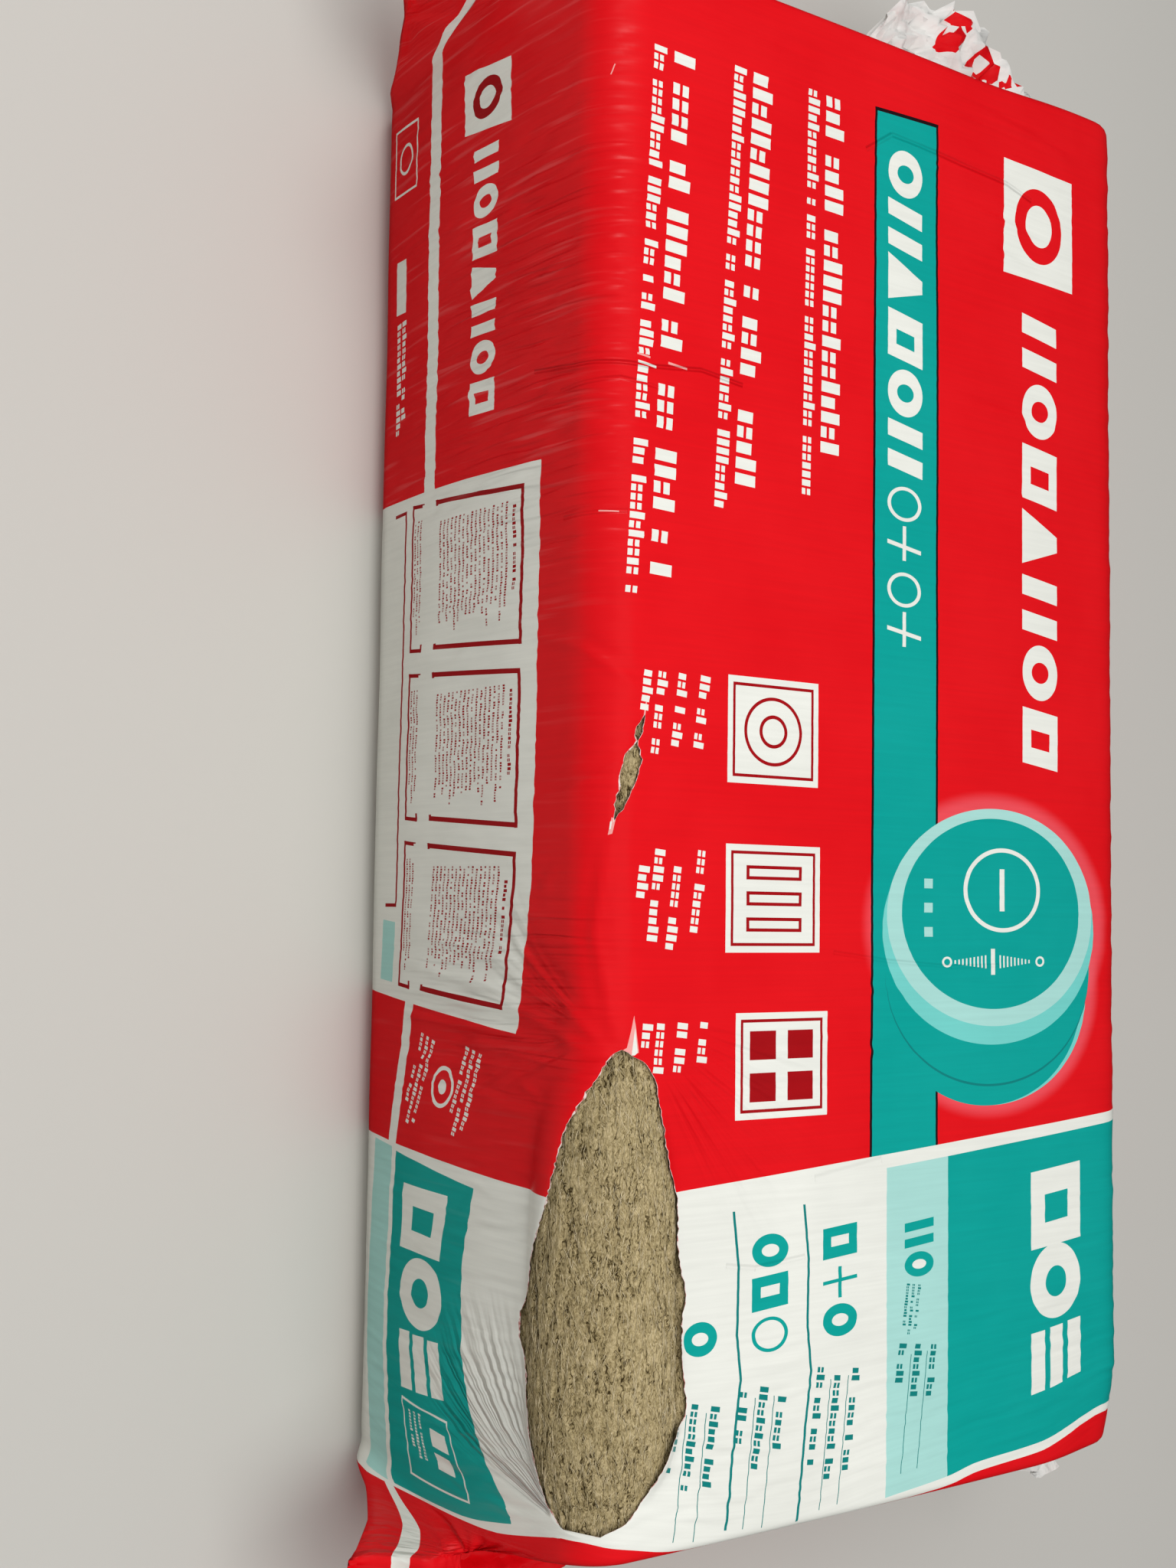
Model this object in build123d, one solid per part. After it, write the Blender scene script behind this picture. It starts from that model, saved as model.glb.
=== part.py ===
"""A pack of stone-wool insulation batts, squeezed side by side into a torn film bag.

The batts stand on edge and are stacked along Y, front to back. The bag is a tube of thin
film along X, drawn tight over them and welded flat at both ends, at half the pack's
height. Its corners there stick out as flat ears. The film is torn along the front top
edge, and the first batt swells out of the long tear. Millimetres, +Z up, with the origin
under the middle of the pack.
"""

from build123d import *
import os

# Batts
batt_count = 8
batt_length = 1194.0
batt_height = 362.0
batt_thickness = 74.0
batt_seam_radius = 5.0
batt_end_bevel = 4.0

# Shape that the tight film gives to the whole stack
side_bulge = 14.0
top_crown = 5.0
corner_radius = 42.0

# Film
film_thickness = 0.5
film_gap = 0.3

# Closed ends of the film
end_run = 42.0
end_start = 12.0
end_squareness = 4.0
end_stages = [0.0, 0.25, 0.58, 0.8, 0.93, 1.0]
weld_width = 22.0
ear_reach = 88.0
ear_sharpness = 3.0
ear_arch = 0.6
edge_rounding = 0.5
ear_length = 113.0
ear_flare = 8.0
smallest_half_height = 1.5

# Long tear, with the first batt swelling out of it as a barrel whose axis is inside the edge
long_tear_length = 346.0
long_tear_end_margin = 22.0
tear_axis_inset = 38.0
tear_axis_drop = 44.0
swell_height = 14.0
swell_sink = 4.0
swell_peak_share = 0.6
swell_left_slope = 0.3
swell_right_slope = -0.6
tear_clearance = 3.0

# Short tear, on the rounded edge near the middle of the pack
short_tear_length = 110.0
short_tear_width = 14.0
short_tear_middle = 12.0
short_tear_inset = 20.0
short_tear_slant = 16.0

# Worked out from the sizes above
half_length = batt_length / 2
half_depth = batt_count * batt_thickness / 2
batt_bottom = film_gap + film_thickness
batt_top = batt_bottom + batt_height
half_height = batt_height / 2
middle_height = batt_bottom + half_height
end_root = half_length - end_start
film_inside = film_gap
film_outside = film_gap + film_thickness


def across(x):
    """A plane across the pack at x, with its own axes along Y and Z."""
    return Plane(origin=(x, 0, 0), x_dir=(0, 1, 0), z_dir=(1, 0, 0))


def pack_section(x, half_width, low, high, bulge, crown, radius):
    """A face across the pack: flat below, bulged at the sides and crowned on top."""
    middle = (low + high) / 2
    with BuildSketch(across(x)) as sketch:
        with BuildLine():
            Line((-half_width, low), (half_width, low))
            ThreePointArc((half_width, low), (half_width + bulge, middle), (half_width, high))
            ThreePointArc((half_width, high), (0, high + crown), (-half_width, high))
            ThreePointArc((-half_width, high), (-half_width - bulge, middle), (-half_width, low))
        make_face()
        fillet(sketch.vertices(), radius)
    return sketch.sketch


def body_section(x, grow):
    """The full section of the stack, larger by grow on every side."""
    return pack_section(
        x,
        half_depth + grow,
        batt_bottom - grow,
        batt_top + grow,
        side_bulge,
        top_crown,
        corner_radius + grow,
    )


def end_section(share, grow, side):
    """The section of a closing end at a share of its run, on the end given by side."""
    x = side * (end_root + (end_run + grow) * share)
    half = (half_height + grow) * (1 - share**end_squareness) ** (1 / end_squareness)
    half = max(half, smallest_half_height + grow)
    reach = half_depth + side_bulge + grow + ear_reach * share**ear_sharpness
    bulge = min(reach - half_depth - grow, ear_arch * half)
    return pack_section(
        x,
        reach - bulge,
        middle_height - half,
        middle_height + half,
        bulge,
        top_crown * half / half_height,
        min(corner_radius + grow, edge_rounding * half),
    )


def closed_tube(grow, shares):
    """The stack's outline with both ends drawn in through these shares of their run."""
    tube = extrude(body_section(-end_root, grow), amount=2 * end_root, dir=(1, 0, 0))
    for side in (-1, 1):
        stages = [end_section(share, grow, side) for share in shares]
        tube += loft(stages, ruled=True)
    return tube


def weld_fin(side):
    """The flat strip past an end, of two layers welded together, with an ear at each side."""
    root = side * (end_root + end_run)
    weld_edge = root + side * weld_width
    tip = root + side * ear_length
    reach = half_depth + side_bulge + ear_reach
    tip_reach = reach + ear_flare
    with BuildSketch(Plane.XY.offset(middle_height - film_thickness)) as strip:
        with BuildLine():
            Line((root, reach), (root, -reach))
            Line((root, -reach), (tip, -tip_reach))
            ThreePointArc((tip, -tip_reach), (weld_edge, 0), (tip, tip_reach))
            Line((tip, tip_reach), (root, reach))
        make_face()
    return extrude(strip.sketch, amount=2 * film_thickness, dir=(0, 0, 1))


def tear_barrel(clearance):
    """A barrel inside the front top edge. It stands out of the edge between the tear's ends."""
    corner_to_axis = corner_radius - corner_radius / 2**0.5
    inset = tear_axis_inset - corner_to_axis
    drop = tear_axis_drop - corner_to_axis
    edge_radius = (inset**2 + drop**2) ** 0.5
    end_x = half_length - long_tear_end_margin
    start_x = end_x - long_tear_length
    axis_y = -half_depth + tear_axis_inset
    axis_z = batt_top - tear_axis_drop
    profile_plane = Plane(origin=(0, axis_y, axis_z), x_dir=(1, 0, 0), z_dir=(0, -1, 0))
    peak_x = start_x + swell_peak_share * long_tear_length
    low = edge_radius - swell_sink + clearance
    high = edge_radius + swell_height + clearance
    with BuildSketch(profile_plane) as profile:
        with BuildLine():
            Line((end_x, low), (end_x, 0))
            Line((end_x, 0), (start_x, 0))
            Line((start_x, 0), (start_x, low))
            Spline(
                (start_x, low),
                (peak_x, high),
                (end_x, low),
                tangents=((1, swell_left_slope), (1, swell_right_slope)),
            )
        make_face()
    axis = Axis((0, axis_y, axis_z), (1, 0, 0))
    return revolve(profile.sketch, axis=axis)


def short_tear_cutter():
    """A pointed lens, standing upright through the film of the top."""
    half = short_tear_length / 2
    with BuildSketch() as lens:
        with BuildLine():
            ThreePointArc((-half, 0), (0, short_tear_width / 2), (half, 0))
            ThreePointArc((half, 0), (0, -short_tear_width / 2), (-half, 0))
        make_face()
    prism = extrude(lens.sketch, amount=corner_radius, dir=(0, 0, 1))
    base_z = batt_top - corner_radius / 2
    base_y = -half_depth + short_tear_inset
    place = Pos(short_tear_middle, base_y, base_z) * Rot(0, 0, -short_tear_slant)
    return place * prism


def make_batts():
    """The batts, cut out of the stack from front to back, as a list."""
    stack = extrude(body_section(-half_length, 0), amount=batt_length, dir=(1, 0, 0))
    batts = []
    for number in range(batt_count):
        front = -half_depth + number * batt_thickness
        back = front + batt_thickness
        if number == 0:
            front -= 2 * side_bulge
        if number == batt_count - 1:
            back += 2 * side_bulge
        slab_place = Pos(0, (front + back) / 2, middle_height)
        batt = stack & (slab_place * Box(2 * batt_length, back - front, 2 * batt_height))
        seams = [
            edge
            for edge in batt.edges().filter_by(Axis.X)
            if any(abs(edge.center().Y - plane) < 0.01 for plane in (front, back))
        ]
        batt = fillet(seams, batt_seam_radius)
        ends = batt.faces().filter_by(Axis.X)
        batt = chamfer(ends.edges(), batt_end_bevel)
        batts.append(batt)
    joint = -half_depth + batt_thickness
    front_half = Pos(0, joint - batt_thickness, middle_height) * Box(
        2 * batt_length, 2 * batt_thickness, 2 * batt_height
    )
    batts[0] += tear_barrel(0) & front_half
    return batts


def make_film():
    """The bag: a closed shell with welded ends, torn open twice along the front edge."""
    outer = closed_tube(film_outside, end_stages)
    outer += [weld_fin(-1), weld_fin(1)]
    inner = closed_tube(film_inside, end_stages[:-1])
    film = outer - inner
    film -= tear_barrel(tear_clearance)
    film -= short_tear_cutter()
    return film


os.makedirs("parts", exist_ok=True)
for index, batt in enumerate(make_batts(), start=1):
    export_step(batt, f"parts/batt_{index}.step")
export_step(make_film(), "parts/film_wrap.step")
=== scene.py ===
"""A pack of stone-wool batts in a torn, printed film bag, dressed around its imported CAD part.

The film is one tube of plastic, drawn tight over the batts, pinched flat at both ends and
torn open along the front top edge. Sizes are in millimetres until a mesh is written, and
+X runs along the pack, +Y to its back and +Z up, as in the CAD.
"""

import logging
import math
from dataclasses import dataclass, field
from enum import Enum

import bmesh
import bpy
import numpy as np
from mathutils import Matrix, Vector


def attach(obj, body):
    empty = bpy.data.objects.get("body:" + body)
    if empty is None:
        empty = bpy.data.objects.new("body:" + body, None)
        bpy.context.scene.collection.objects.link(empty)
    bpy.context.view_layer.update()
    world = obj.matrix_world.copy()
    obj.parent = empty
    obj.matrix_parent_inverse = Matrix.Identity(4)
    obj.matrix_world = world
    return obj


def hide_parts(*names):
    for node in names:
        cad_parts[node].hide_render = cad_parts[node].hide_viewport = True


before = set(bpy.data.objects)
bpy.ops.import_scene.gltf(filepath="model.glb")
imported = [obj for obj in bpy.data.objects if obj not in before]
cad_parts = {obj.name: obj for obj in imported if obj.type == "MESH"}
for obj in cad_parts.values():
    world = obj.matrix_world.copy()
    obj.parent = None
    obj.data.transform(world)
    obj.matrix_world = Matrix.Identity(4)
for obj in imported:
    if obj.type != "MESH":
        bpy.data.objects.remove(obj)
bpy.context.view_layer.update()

log = logging.getLogger("pack")

MM = 0.001
RIM_SLOT = 1

Line = tuple[tuple[float, float], ...]
Box = tuple[float, float, float, float]
Tree = bpy.types.NodeTree
Socket = bpy.types.NodeSocket


class Ink(Enum):
    """The inks and bare plastics of the bag, as sRGB hex values."""

    RED = "#E20713"
    DEEP_RED = "#A3060F"
    TEAL = "#00A097"
    DARK_TEAL = "#0B7F7B"
    LIGHT_TEAL = "#74CFC7"
    PALE_TEAL = "#A9DAD2"
    GLOW = "#F4606A"
    # Pale pink of stress-whitened film, also used for painted glints that stand in for highlights on creases.
    STRESS_AND_GLINT = "#F0A39D"
    WHITE = "#E9E9E0"
    BARE = "#E9E7E2"
    OUTLINE = "#241418"


def linear(code: str) -> tuple[float, float, float, float]:
    """An sRGB hex colour as linear light.

    Args:
        code: Six hex digits after a hash.
    Returns:
        Red, green and blue from 0 to 1, and an alpha of 1.
    """
    parts = [int(code[i : i + 2], 16) / 255 for i in (1, 3, 5)]
    return (*[c / 12.92 if c <= 0.04045 else ((c + 0.055) / 1.055) ** 2.4 for c in parts], 1.0)


def add_node(tree: Tree, kind: str, inputs: dict, output: int | str = 0, **settings) -> Socket:
    """Adds a node with its settings and links.

    Args:
        tree: The node tree that it goes into.
        kind: The node's type name, without the leading ShaderNode.
        inputs: Socket name or number to a value or to the output socket that feeds it.
        output: Name or number of the output that is wanted.
        settings: Properties of the node.
    Returns:
        That output of the new node.
    """
    node = tree.nodes.new("ShaderNode" + kind)
    for name, value in settings.items():
        setattr(node, name, value)
    for name, value in inputs.items():
        if isinstance(value, Socket):
            tree.links.new(value, node.inputs[name])
        else:
            node.inputs[name].default_value = value
    return node.outputs[output]


def to_millimetres(tree: Tree, uv: Socket) -> Socket:
    """The print position in millimetres, with 1 as its third number."""
    given = {0: uv, 1: (1 / MM, 1 / MM, 0.0), 2: (0.0, 0.0, 1.0)}
    return add_node(tree, "VectorMath", given, operation="MULTIPLY_ADD")


def set_stops(ramp: bpy.types.ColorRamp, stops: tuple[tuple[float, str], ...]) -> None:
    """Sets a new colour ramp's stops: the first, the last and then any between."""
    for number, (position, code) in enumerate(stops):
        stop = ramp.elements[number] if number < 2 else ramp.elements.new(position)
        stop.position = position
        stop.color = linear(code)


def new_material(
    name: str, roughness: float, specular: float = 0.5
) -> tuple[bpy.types.Material, bpy.types.Node]:
    """A new material and its shader, with its roughness and how much it reflects."""
    material = bpy.data.materials.new(name)
    material.use_nodes = True
    shader = material.node_tree.nodes["Principled BSDF"]
    shader.inputs["Roughness"].default_value = roughness
    shader.inputs["Specular IOR Level"].default_value = specular
    return material, shader


def read_all(items: bpy.types.bpy_prop_collection, name: str, width: int = 1) -> np.ndarray:
    """A property of every item of a mesh: rows of numbers, or single whole ones."""
    values = np.zeros(len(items) * width, float if width > 1 else int)
    items.foreach_get(name, values)
    return values.reshape(-1, width) if width > 1 else values


def add_object(mesh: bpy.types.Mesh) -> bpy.types.Object:
    """Puts a mesh into the scene under its own name."""
    piece = bpy.data.objects.new(mesh.name, mesh)
    bpy.context.scene.collection.objects.link(piece)
    return piece


def boxes_meet(one: Box, other: Box) -> bool:
    """Whether two boxes, each the least x and y and the greatest x and y, share a place."""
    return one[0] < other[2] and other[0] < one[2] and one[1] < other[3] and other[1] < one[3]


def box_within(one: Box, other: Box) -> bool:
    """Whether the first box lies within the second."""
    return one[0] >= other[0] and one[1] >= other[1] and one[2] <= other[2] and one[3] <= other[3]


def ripples(first: np.ndarray, second: np.ndarray, count: int, seed: int) -> np.ndarray:
    """Smooth random waves, as a sum of sines in random directions.

    Args:
        first: The places' first coordinate, in wavelengths.
        second: Their second coordinate.
        count: How many sines are summed.
        seed: Seed of the random directions and phases.
    Returns:
        One value for each place, mostly from -1 to 1.
    """
    draw = np.random.default_rng(seed)
    points = np.stack([first, second], -1)
    total = np.zeros(points.shape[:-1])
    for _ in range(count):
        way = draw.normal(size=2)
        way *= draw.uniform(0.6, 1.5) / np.linalg.norm(way)
        total += np.sin(2 * math.pi * (points @ way) + draw.uniform(0, 2 * math.pi))
    return total / math.sqrt(count / 2) / 1.6


def bump_up(x: np.ndarray, low: float, high: float) -> np.ndarray:
    """A smooth step from 0 at low to 1 at high."""
    t = np.clip((x - low) / (high - low), 0, 1)
    return t * t * (3 - 2 * t)


def smooth_line(x: np.ndarray, points: Line) -> np.ndarray:
    """A curve through points, with slopes that make no overshoot.

    Args:
        x: Where the curve is read. Outside the points it keeps their end values.
        points: Pairs of position and value, in rising order.
    Returns:
        The curve's value at each x.
    """
    xs, ys = np.array(points, float).T
    step = np.diff(xs)
    rise = np.diff(ys) / step
    same = rise[:-1] * rise[1:] > 0
    middle = np.where(same, 2 * rise[:-1] * rise[1:] / np.where(same, rise[:-1] + rise[1:], 1), 0)
    slope = np.concatenate([rise[:1], middle, rise[-1:]])
    x = np.clip(x, xs[0], xs[-1])
    i = np.clip(np.searchsorted(xs, x) - 1, 0, len(xs) - 2)
    h = step[i]
    t = (x - xs[i]) / h
    return (
        ys[i] * (1 + 2 * t) * (1 - t) ** 2
        + ys[i + 1] * t * t * (3 - 2 * t)
        + slope[i] * h * t * (1 - t) ** 2
        - slope[i + 1] * h * t * t * (1 - t)
    )


@dataclass(frozen=True)
class PackForm:
    """The outline that the tight film gives to the stack, as the CAD has it."""

    half_width: float = 296.8
    height: float = 363.6
    bulge: float = 14.0
    crown: float = 5.0
    corner: float = 42.8
    end_root: float = 585.0
    end_run: float = 42.8
    ear_arch: float = 0.6
    thinnest: float = 0.9
    corner_trim: float = 0.83
    corner_pull: float = 0.578
    ridge_row: float = 3.5
    slump_back: tuple[float, float] = (170.0, 300.0)
    slump_height: tuple[float, float] = (240.0, 350.0)
    slump_end: tuple[float, float] = (520.0, 612.0)
    slump_drop: tuple[float, float] = (3.2, 8.0)
    slump_draw: tuple[float, float] = (1.8, 5.0)
    slump_short: float = 3.0
    closing: Line = (
        (0.0, 1.0), (0.26, 0.998), (0.36, 0.985), (0.43, 0.95), (0.52, 0.86), (0.75, 0.5), (0.9, 0.22),
        (1.0, 0.0),
    )

    def closing_walk(self) -> tuple[np.ndarray, np.ndarray]:
        """Shares of the closing end's run, and how far along the film each of them is."""
        share = np.linspace(0, 1, 401)
        half = self.height / 2 * smooth_line(share, self.closing)
        steps = np.hypot(np.diff(share) * self.end_run, np.diff(half))
        return share, np.concatenate([[0], np.cumsum(steps)])

    def dims(self, share: np.ndarray) -> list[np.ndarray]:
        """Sizes of the section at a share of the closing end's run.

        Args:
            share: 0 along the body, rising to 1 where the end is pinched flat.
        Returns:
            Half width of the flat part, half height, bulge, crown and trimmed corner length.
        """
        half = self.height / 2 * smooth_line(share, self.closing)
        half = np.maximum(half, self.thinnest)
        reach = self.half_width + self.bulge
        bulge = np.minimum(reach - self.half_width, self.ear_arch * half)
        crown = self.crown * half / (self.height / 2)
        trim = self.corner_trim * np.minimum(self.corner, half / 2)
        return [reach - bulge, half, bulge, crown, trim]

    def section(self, row: np.ndarray, share: np.ndarray) -> tuple[np.ndarray, np.ndarray]:
        """Points round the pack.

        Args:
            row: Place round the section, from 0 at the bottom's middle towards the front,
                up over the front top edge, which is 3.5, and back underneath to 9.
            share: The end share of each point.
        Returns:
            Y and Z of each point.
        """
        wide, half, bulge, crown, trim = self.dims(share)
        front = row < 4.5
        mirrored = np.where(front, row, 9 - row)
        part = np.clip(np.floor(mirrored), 0, 4)
        t = mirrored - part
        middle = self.height / 2

        def side(z: np.ndarray) -> np.ndarray:
            """How far out the side stands at a height."""
            return wide + bulge * (1 - ((z - middle) / half) ** 2)

        def top(y: np.ndarray) -> np.ndarray:
            """How high the top is over a place across it."""
            return middle + half + crown * (1 - (y / wide) ** 2)

        def corner(*ends: np.ndarray) -> tuple[np.ndarray, np.ndarray]:
            """A rounded corner, from the Y and Z of its low end, its tip and its high end."""
            low_y, low_z, tip_y, tip_z, high_y, high_z = ends
            k = self.corner_pull
            a = ((1 - t) ** 3, 3 * t * (1 - t) ** 2, 3 * t * t * (1 - t), t**3)
            y1, z1 = low_y + k * (tip_y - low_y), low_z + k * (tip_z - low_z)
            y2, z2 = high_y + k * (tip_y - high_y), high_z + k * (tip_z - high_z)
            y = a[0] * low_y + a[1] * y1 + a[2] * y2 + a[3] * high_y
            return y, a[0] * low_z + a[1] * z1 + a[2] * z2 + a[3] * high_z

        bottom = middle - half
        y0, z0 = t * (wide - trim), bottom + 0 * t
        z_low, z_high = bottom + trim, middle + half - trim
        y1, z1 = corner(wide - trim, bottom, wide, bottom, side(z_low), z_low)
        z2 = z_low + t * (z_high - z_low)
        y2 = side(z2)
        y3, z3 = corner(side(z_high), z_high, wide, middle + half, wide - trim, top(wide - trim))
        y4 = (wide - trim) * (1 - 2 * t)
        z4 = top(y4)
        y = np.select([part == 0, part == 1, part == 2, part == 3], [y0, y1, y2, y3], y4)
        z = np.select([part == 0, part == 1, part == 2, part == 3], [z0, z1, z2, z3], z4)
        return np.where(front, -y, y), z

    def slump(self, at: np.ndarray) -> None:
        """Lowers the back top edge a little, most at the right end, in place."""
        near = bump_up(at[:, 1], *self.slump_back) * bump_up(at[:, 2], *self.slump_height)
        end = near * bump_up(at[:, 0], *self.slump_end)
        at[:, 2] -= self.slump_drop[0] * near + self.slump_drop[1] * end
        at[:, 1] -= self.slump_draw[0] * near + self.slump_draw[1] * end
        at[:, 0] -= self.slump_short * end

    def girth(self) -> tuple[np.ndarray, np.ndarray]:
        """Rows of the body's section and how far round from the front top edge each one is."""
        row = np.linspace(0, 9, 9001)
        y, z = self.section(row, np.zeros_like(row))
        round_it = np.concatenate([[0], np.cumsum(np.hypot(np.diff(y), np.diff(z)))])
        return row, round_it - np.interp(self.ridge_row, row, round_it)


@dataclass(frozen=True)
class Swelling:
    """The first batt where it swells out of the long tear, as a barrel along X."""

    axis_y: float = -258.0
    axis_z: float = 318.8
    near_y: float = 80.0
    near_z: float = -90.0
    near_x: tuple[float, float] = (180.0, 600.0)
    profile: Line = (
        (229, 36.8), (245, 41.5), (260, 44.7), (280, 48.2), (300, 50.7), (325, 52.8), (350, 54.0),
        (400, 55.0), (437, 55.4), (475, 55.6), (495, 55.3), (515, 54.1), (535, 51.4), (550, 47.8),
        (560, 44.6), (575, 36.8),
    )

    def radius(self, x: np.ndarray) -> np.ndarray:
        """The barrel's radius at each x."""
        return smooth_line(x, self.profile)

    def push_out(self, at: np.ndarray, clearance: float | np.ndarray, softness: float) -> None:
        """Moves points that are inside the barrel outwards, in place.

        Args:
            at: Rows of X, Y and Z.
            clearance: How far outside the barrel they end.
            softness: Width of the blend between barrel and bag.
        """
        dy, dz = at[:, 1] - self.axis_y, at[:, 2] - self.axis_z
        away = np.hypot(dy, dz)
        want = self.radius(at[:, 0]) + clearance
        near = (dy < self.near_y) & (dz > self.near_z)
        near &= (at[:, 0] > self.near_x[0]) & (at[:, 0] < self.near_x[1])
        short = want - away
        push = np.where(near, softness * np.logaddexp(0, np.clip(short / softness, -20, 20)), 0)
        keep = np.clip(away, 1, None)
        at[:, 1] += push * dy / keep
        at[:, 2] += push * dz / keep


@dataclass(frozen=True)
class Tears:
    """The two tears: one row of the film's grid is split and its lips drawn apart.

    Positions round the pack are from the front top edge, up over the top.
    """

    row_at: float = 14.0
    path: Line = (
        (-160, 14), (-60, 30), (-18, 31), (-2, 26), (9.5, 23.3), (25, 19.8), (39, 16.6), (53, 12.2),
        (66, 7.6), (84, 3), (150, 8), (233, 14), (300, 14), (480, 5), (582, -2), (660, 14),
    )
    long_start: float = 233.0
    long_end: float = 582.0
    upper_lip: Line = (
        (233, 14), (237, 22), (243, 33), (249, 40), (259, 45), (278, 48), (307, 52), (322, 56), (335, 62),
        (349, 66), (375, 66), (391, 68), (407, 73), (417, 74.5), (435, 71), (460, 70), (480, 74), (503, 76),
        (509, 67), (518, 59), (539, 47), (551, 40.5), (569, 27), (575, 18), (578, 10), (581, 3), (582, -2),
    )
    lower_lip: Line = (
        (233, 14), (237, 8.5), (242, 4.7), (254, -1.6), (266, -10), (278, -17), (292, -24), (307, -27.6),
        (324, -31), (341, -35), (359, -41), (376, -49), (393, -56), (409, -60), (424, -70), (435, -77),
        (447, -77.8), (459, -72), (482, -61), (497, -58), (512, -57), (529, -52), (544, -49), (563, -42),
        (571, -35), (577, -26), (580, -16), (582, -2),
    )
    short_start: float = -13.0
    short_end: float = 67.0
    short_upper: Line = (
        (-13, 0.0), (-8, 2.2), (-2, 3.2), (4, 2.2), (7.7, 0.6), (12, 4.0), (18, 6.6), (25, 7.6), (39, 6.2),
        (53, 4.4), (61, 1.8), (67, 0.0),
    )
    short_lower: Line = (
        (-13, 0.0), (-8, -2.0), (-2, -3.2), (4, -2.4), (7.7, -0.5), (12, -3.6), (18, -6.4), (25, -7.6),
        (39, -6.2), (53, -4.4), (61, -1.8), (67, 0.0),
    )
    upper_run: float = 170.0
    lower_run: float = 210.0
    path_run: float = 150.0

    def open_between(self, x: np.ndarray) -> np.ndarray:
        """Which positions along the pack lie inside a tear."""
        long_one = (x > self.long_start + 0.5) & (x < self.long_end - 0.5)
        short_one = (x > self.short_start + 0.5) & (x < self.short_end - 0.5)
        return long_one | short_one

    def lips(self, x: np.ndarray) -> tuple[np.ndarray, np.ndarray]:
        """Where the upper and lower lips lie, round the pack, at each x."""
        path = smooth_line(x, self.path)
        inside = (x > self.long_start) & (x < self.long_end)
        upper = np.where(inside, smooth_line(x, self.upper_lip), path)
        lower = np.where(inside, smooth_line(x, self.lower_lip), path)
        small = (x > self.short_start) & (x < self.short_end)
        upper = upper + np.where(small, smooth_line(x, self.short_upper), 0)
        lower = lower + np.where(small, smooth_line(x, self.short_lower), 0)
        ragged = 0.7 * ripples(x / 9, 0 * x, 8, 5)
        ragged += 0.4 * ripples(x / 3.5, 0 * x, 8, 6)
        gap = np.clip((upper - lower) / 6, 0, 1)
        return upper + gap * ragged, lower + gap * ragged[::-1]

    def spread(self, x: np.ndarray, around: np.ndarray, above: np.ndarray) -> np.ndarray:
        """Where the film's grid rows lie once the tears have opened.

        Args:
            x: Position along the pack of each point.
            around: Its place round the pack in the untorn bag.
            above: Whether it is on the upper side of the tears' row.
        Returns:
            Its place round the pack.
        """
        path = smooth_line(x, self.path)
        away = np.abs(around - self.row_at)
        moved = around + (path - self.row_at) * np.clip(1 - away / self.path_run, 0, 1) ** 1.5
        upper, lower = self.lips(x)
        up = np.clip(moved - path, 0, self.upper_run)
        down = np.clip(path - moved, 0, self.lower_run)
        up = (upper - path) * (1 - up / self.upper_run)
        down = (path - lower) * (1 - down / self.lower_run)
        return moved + np.where(above, up, -down)


@dataclass(frozen=True)
class PrintLine:
    """A line of the print that ran level on the flat film, and where the tight film carried it."""

    level: float
    line: Line


@dataclass(frozen=True)
class Ear:
    """How the film stands out at one corner of a welded end.

    The fold is the film that ends up outermost, as a share of the side's height.
    """

    side: int
    face: int
    reach: float
    fold: float = 0.5
    point: float = 1.5
    lift: float = 0.0
    power: float = 3.0
    hold: float = 0.4

    def weight(self, row: np.ndarray) -> np.ndarray:
        """Share of the reach that each row of the section is drawn out by."""
        t = row - 2 - self.fold
        over = np.clip(1 - t / (1.4 - self.fold), 0, 1) ** self.point
        return np.where(t < 0, bump_up(row, 1.0, 2 + self.fold), over)


@dataclass(frozen=True)
class Crease:
    """One crease of the film, along a line of places on the pack."""

    line: Line
    height: float
    width: float = 4.0

    def lift(self, x: np.ndarray, around: np.ndarray) -> np.ndarray:
        """Height of the crease at each place: a small ridge with a hollow beside it."""
        points = np.array(self.line, float)
        runs = np.hypot(*np.diff(points, axis=0).T)
        done = 0.0
        near = np.full_like(x, 1e9)
        shift = np.zeros_like(x)
        share = np.zeros_like(x)
        for (x0, y0), (x1, y1), run in zip(points[:-1], points[1:], runs):
            along = ((x - x0) * (x1 - x0) + (around - y0) * (y1 - y0)) / run**2
            t = np.clip(along, 0, 1)
            dx, dy = x - (x0 + t * (x1 - x0)), around - (y0 + t * (y1 - y0))
            away = np.hypot(dx, dy)
            side = np.sign(dx * (y1 - y0) - dy * (x1 - x0))
            closer = away < near
            near = np.where(closer, away, near)
            shift = np.where(closer, away * side, shift)
            share = np.where(closer, (done + t * run) / runs.sum(), share)
            done += run
        taper = np.sin(math.pi * np.clip(0.04 + 0.92 * share, 0, 1)) ** 0.6
        ridge = np.exp(-((shift / self.width) ** 2))
        hollow = np.exp(-(((shift - 1.7 * self.width) / (1.2 * self.width)) ** 2))
        return self.height * taper * (ridge - 0.6 * hollow)


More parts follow.
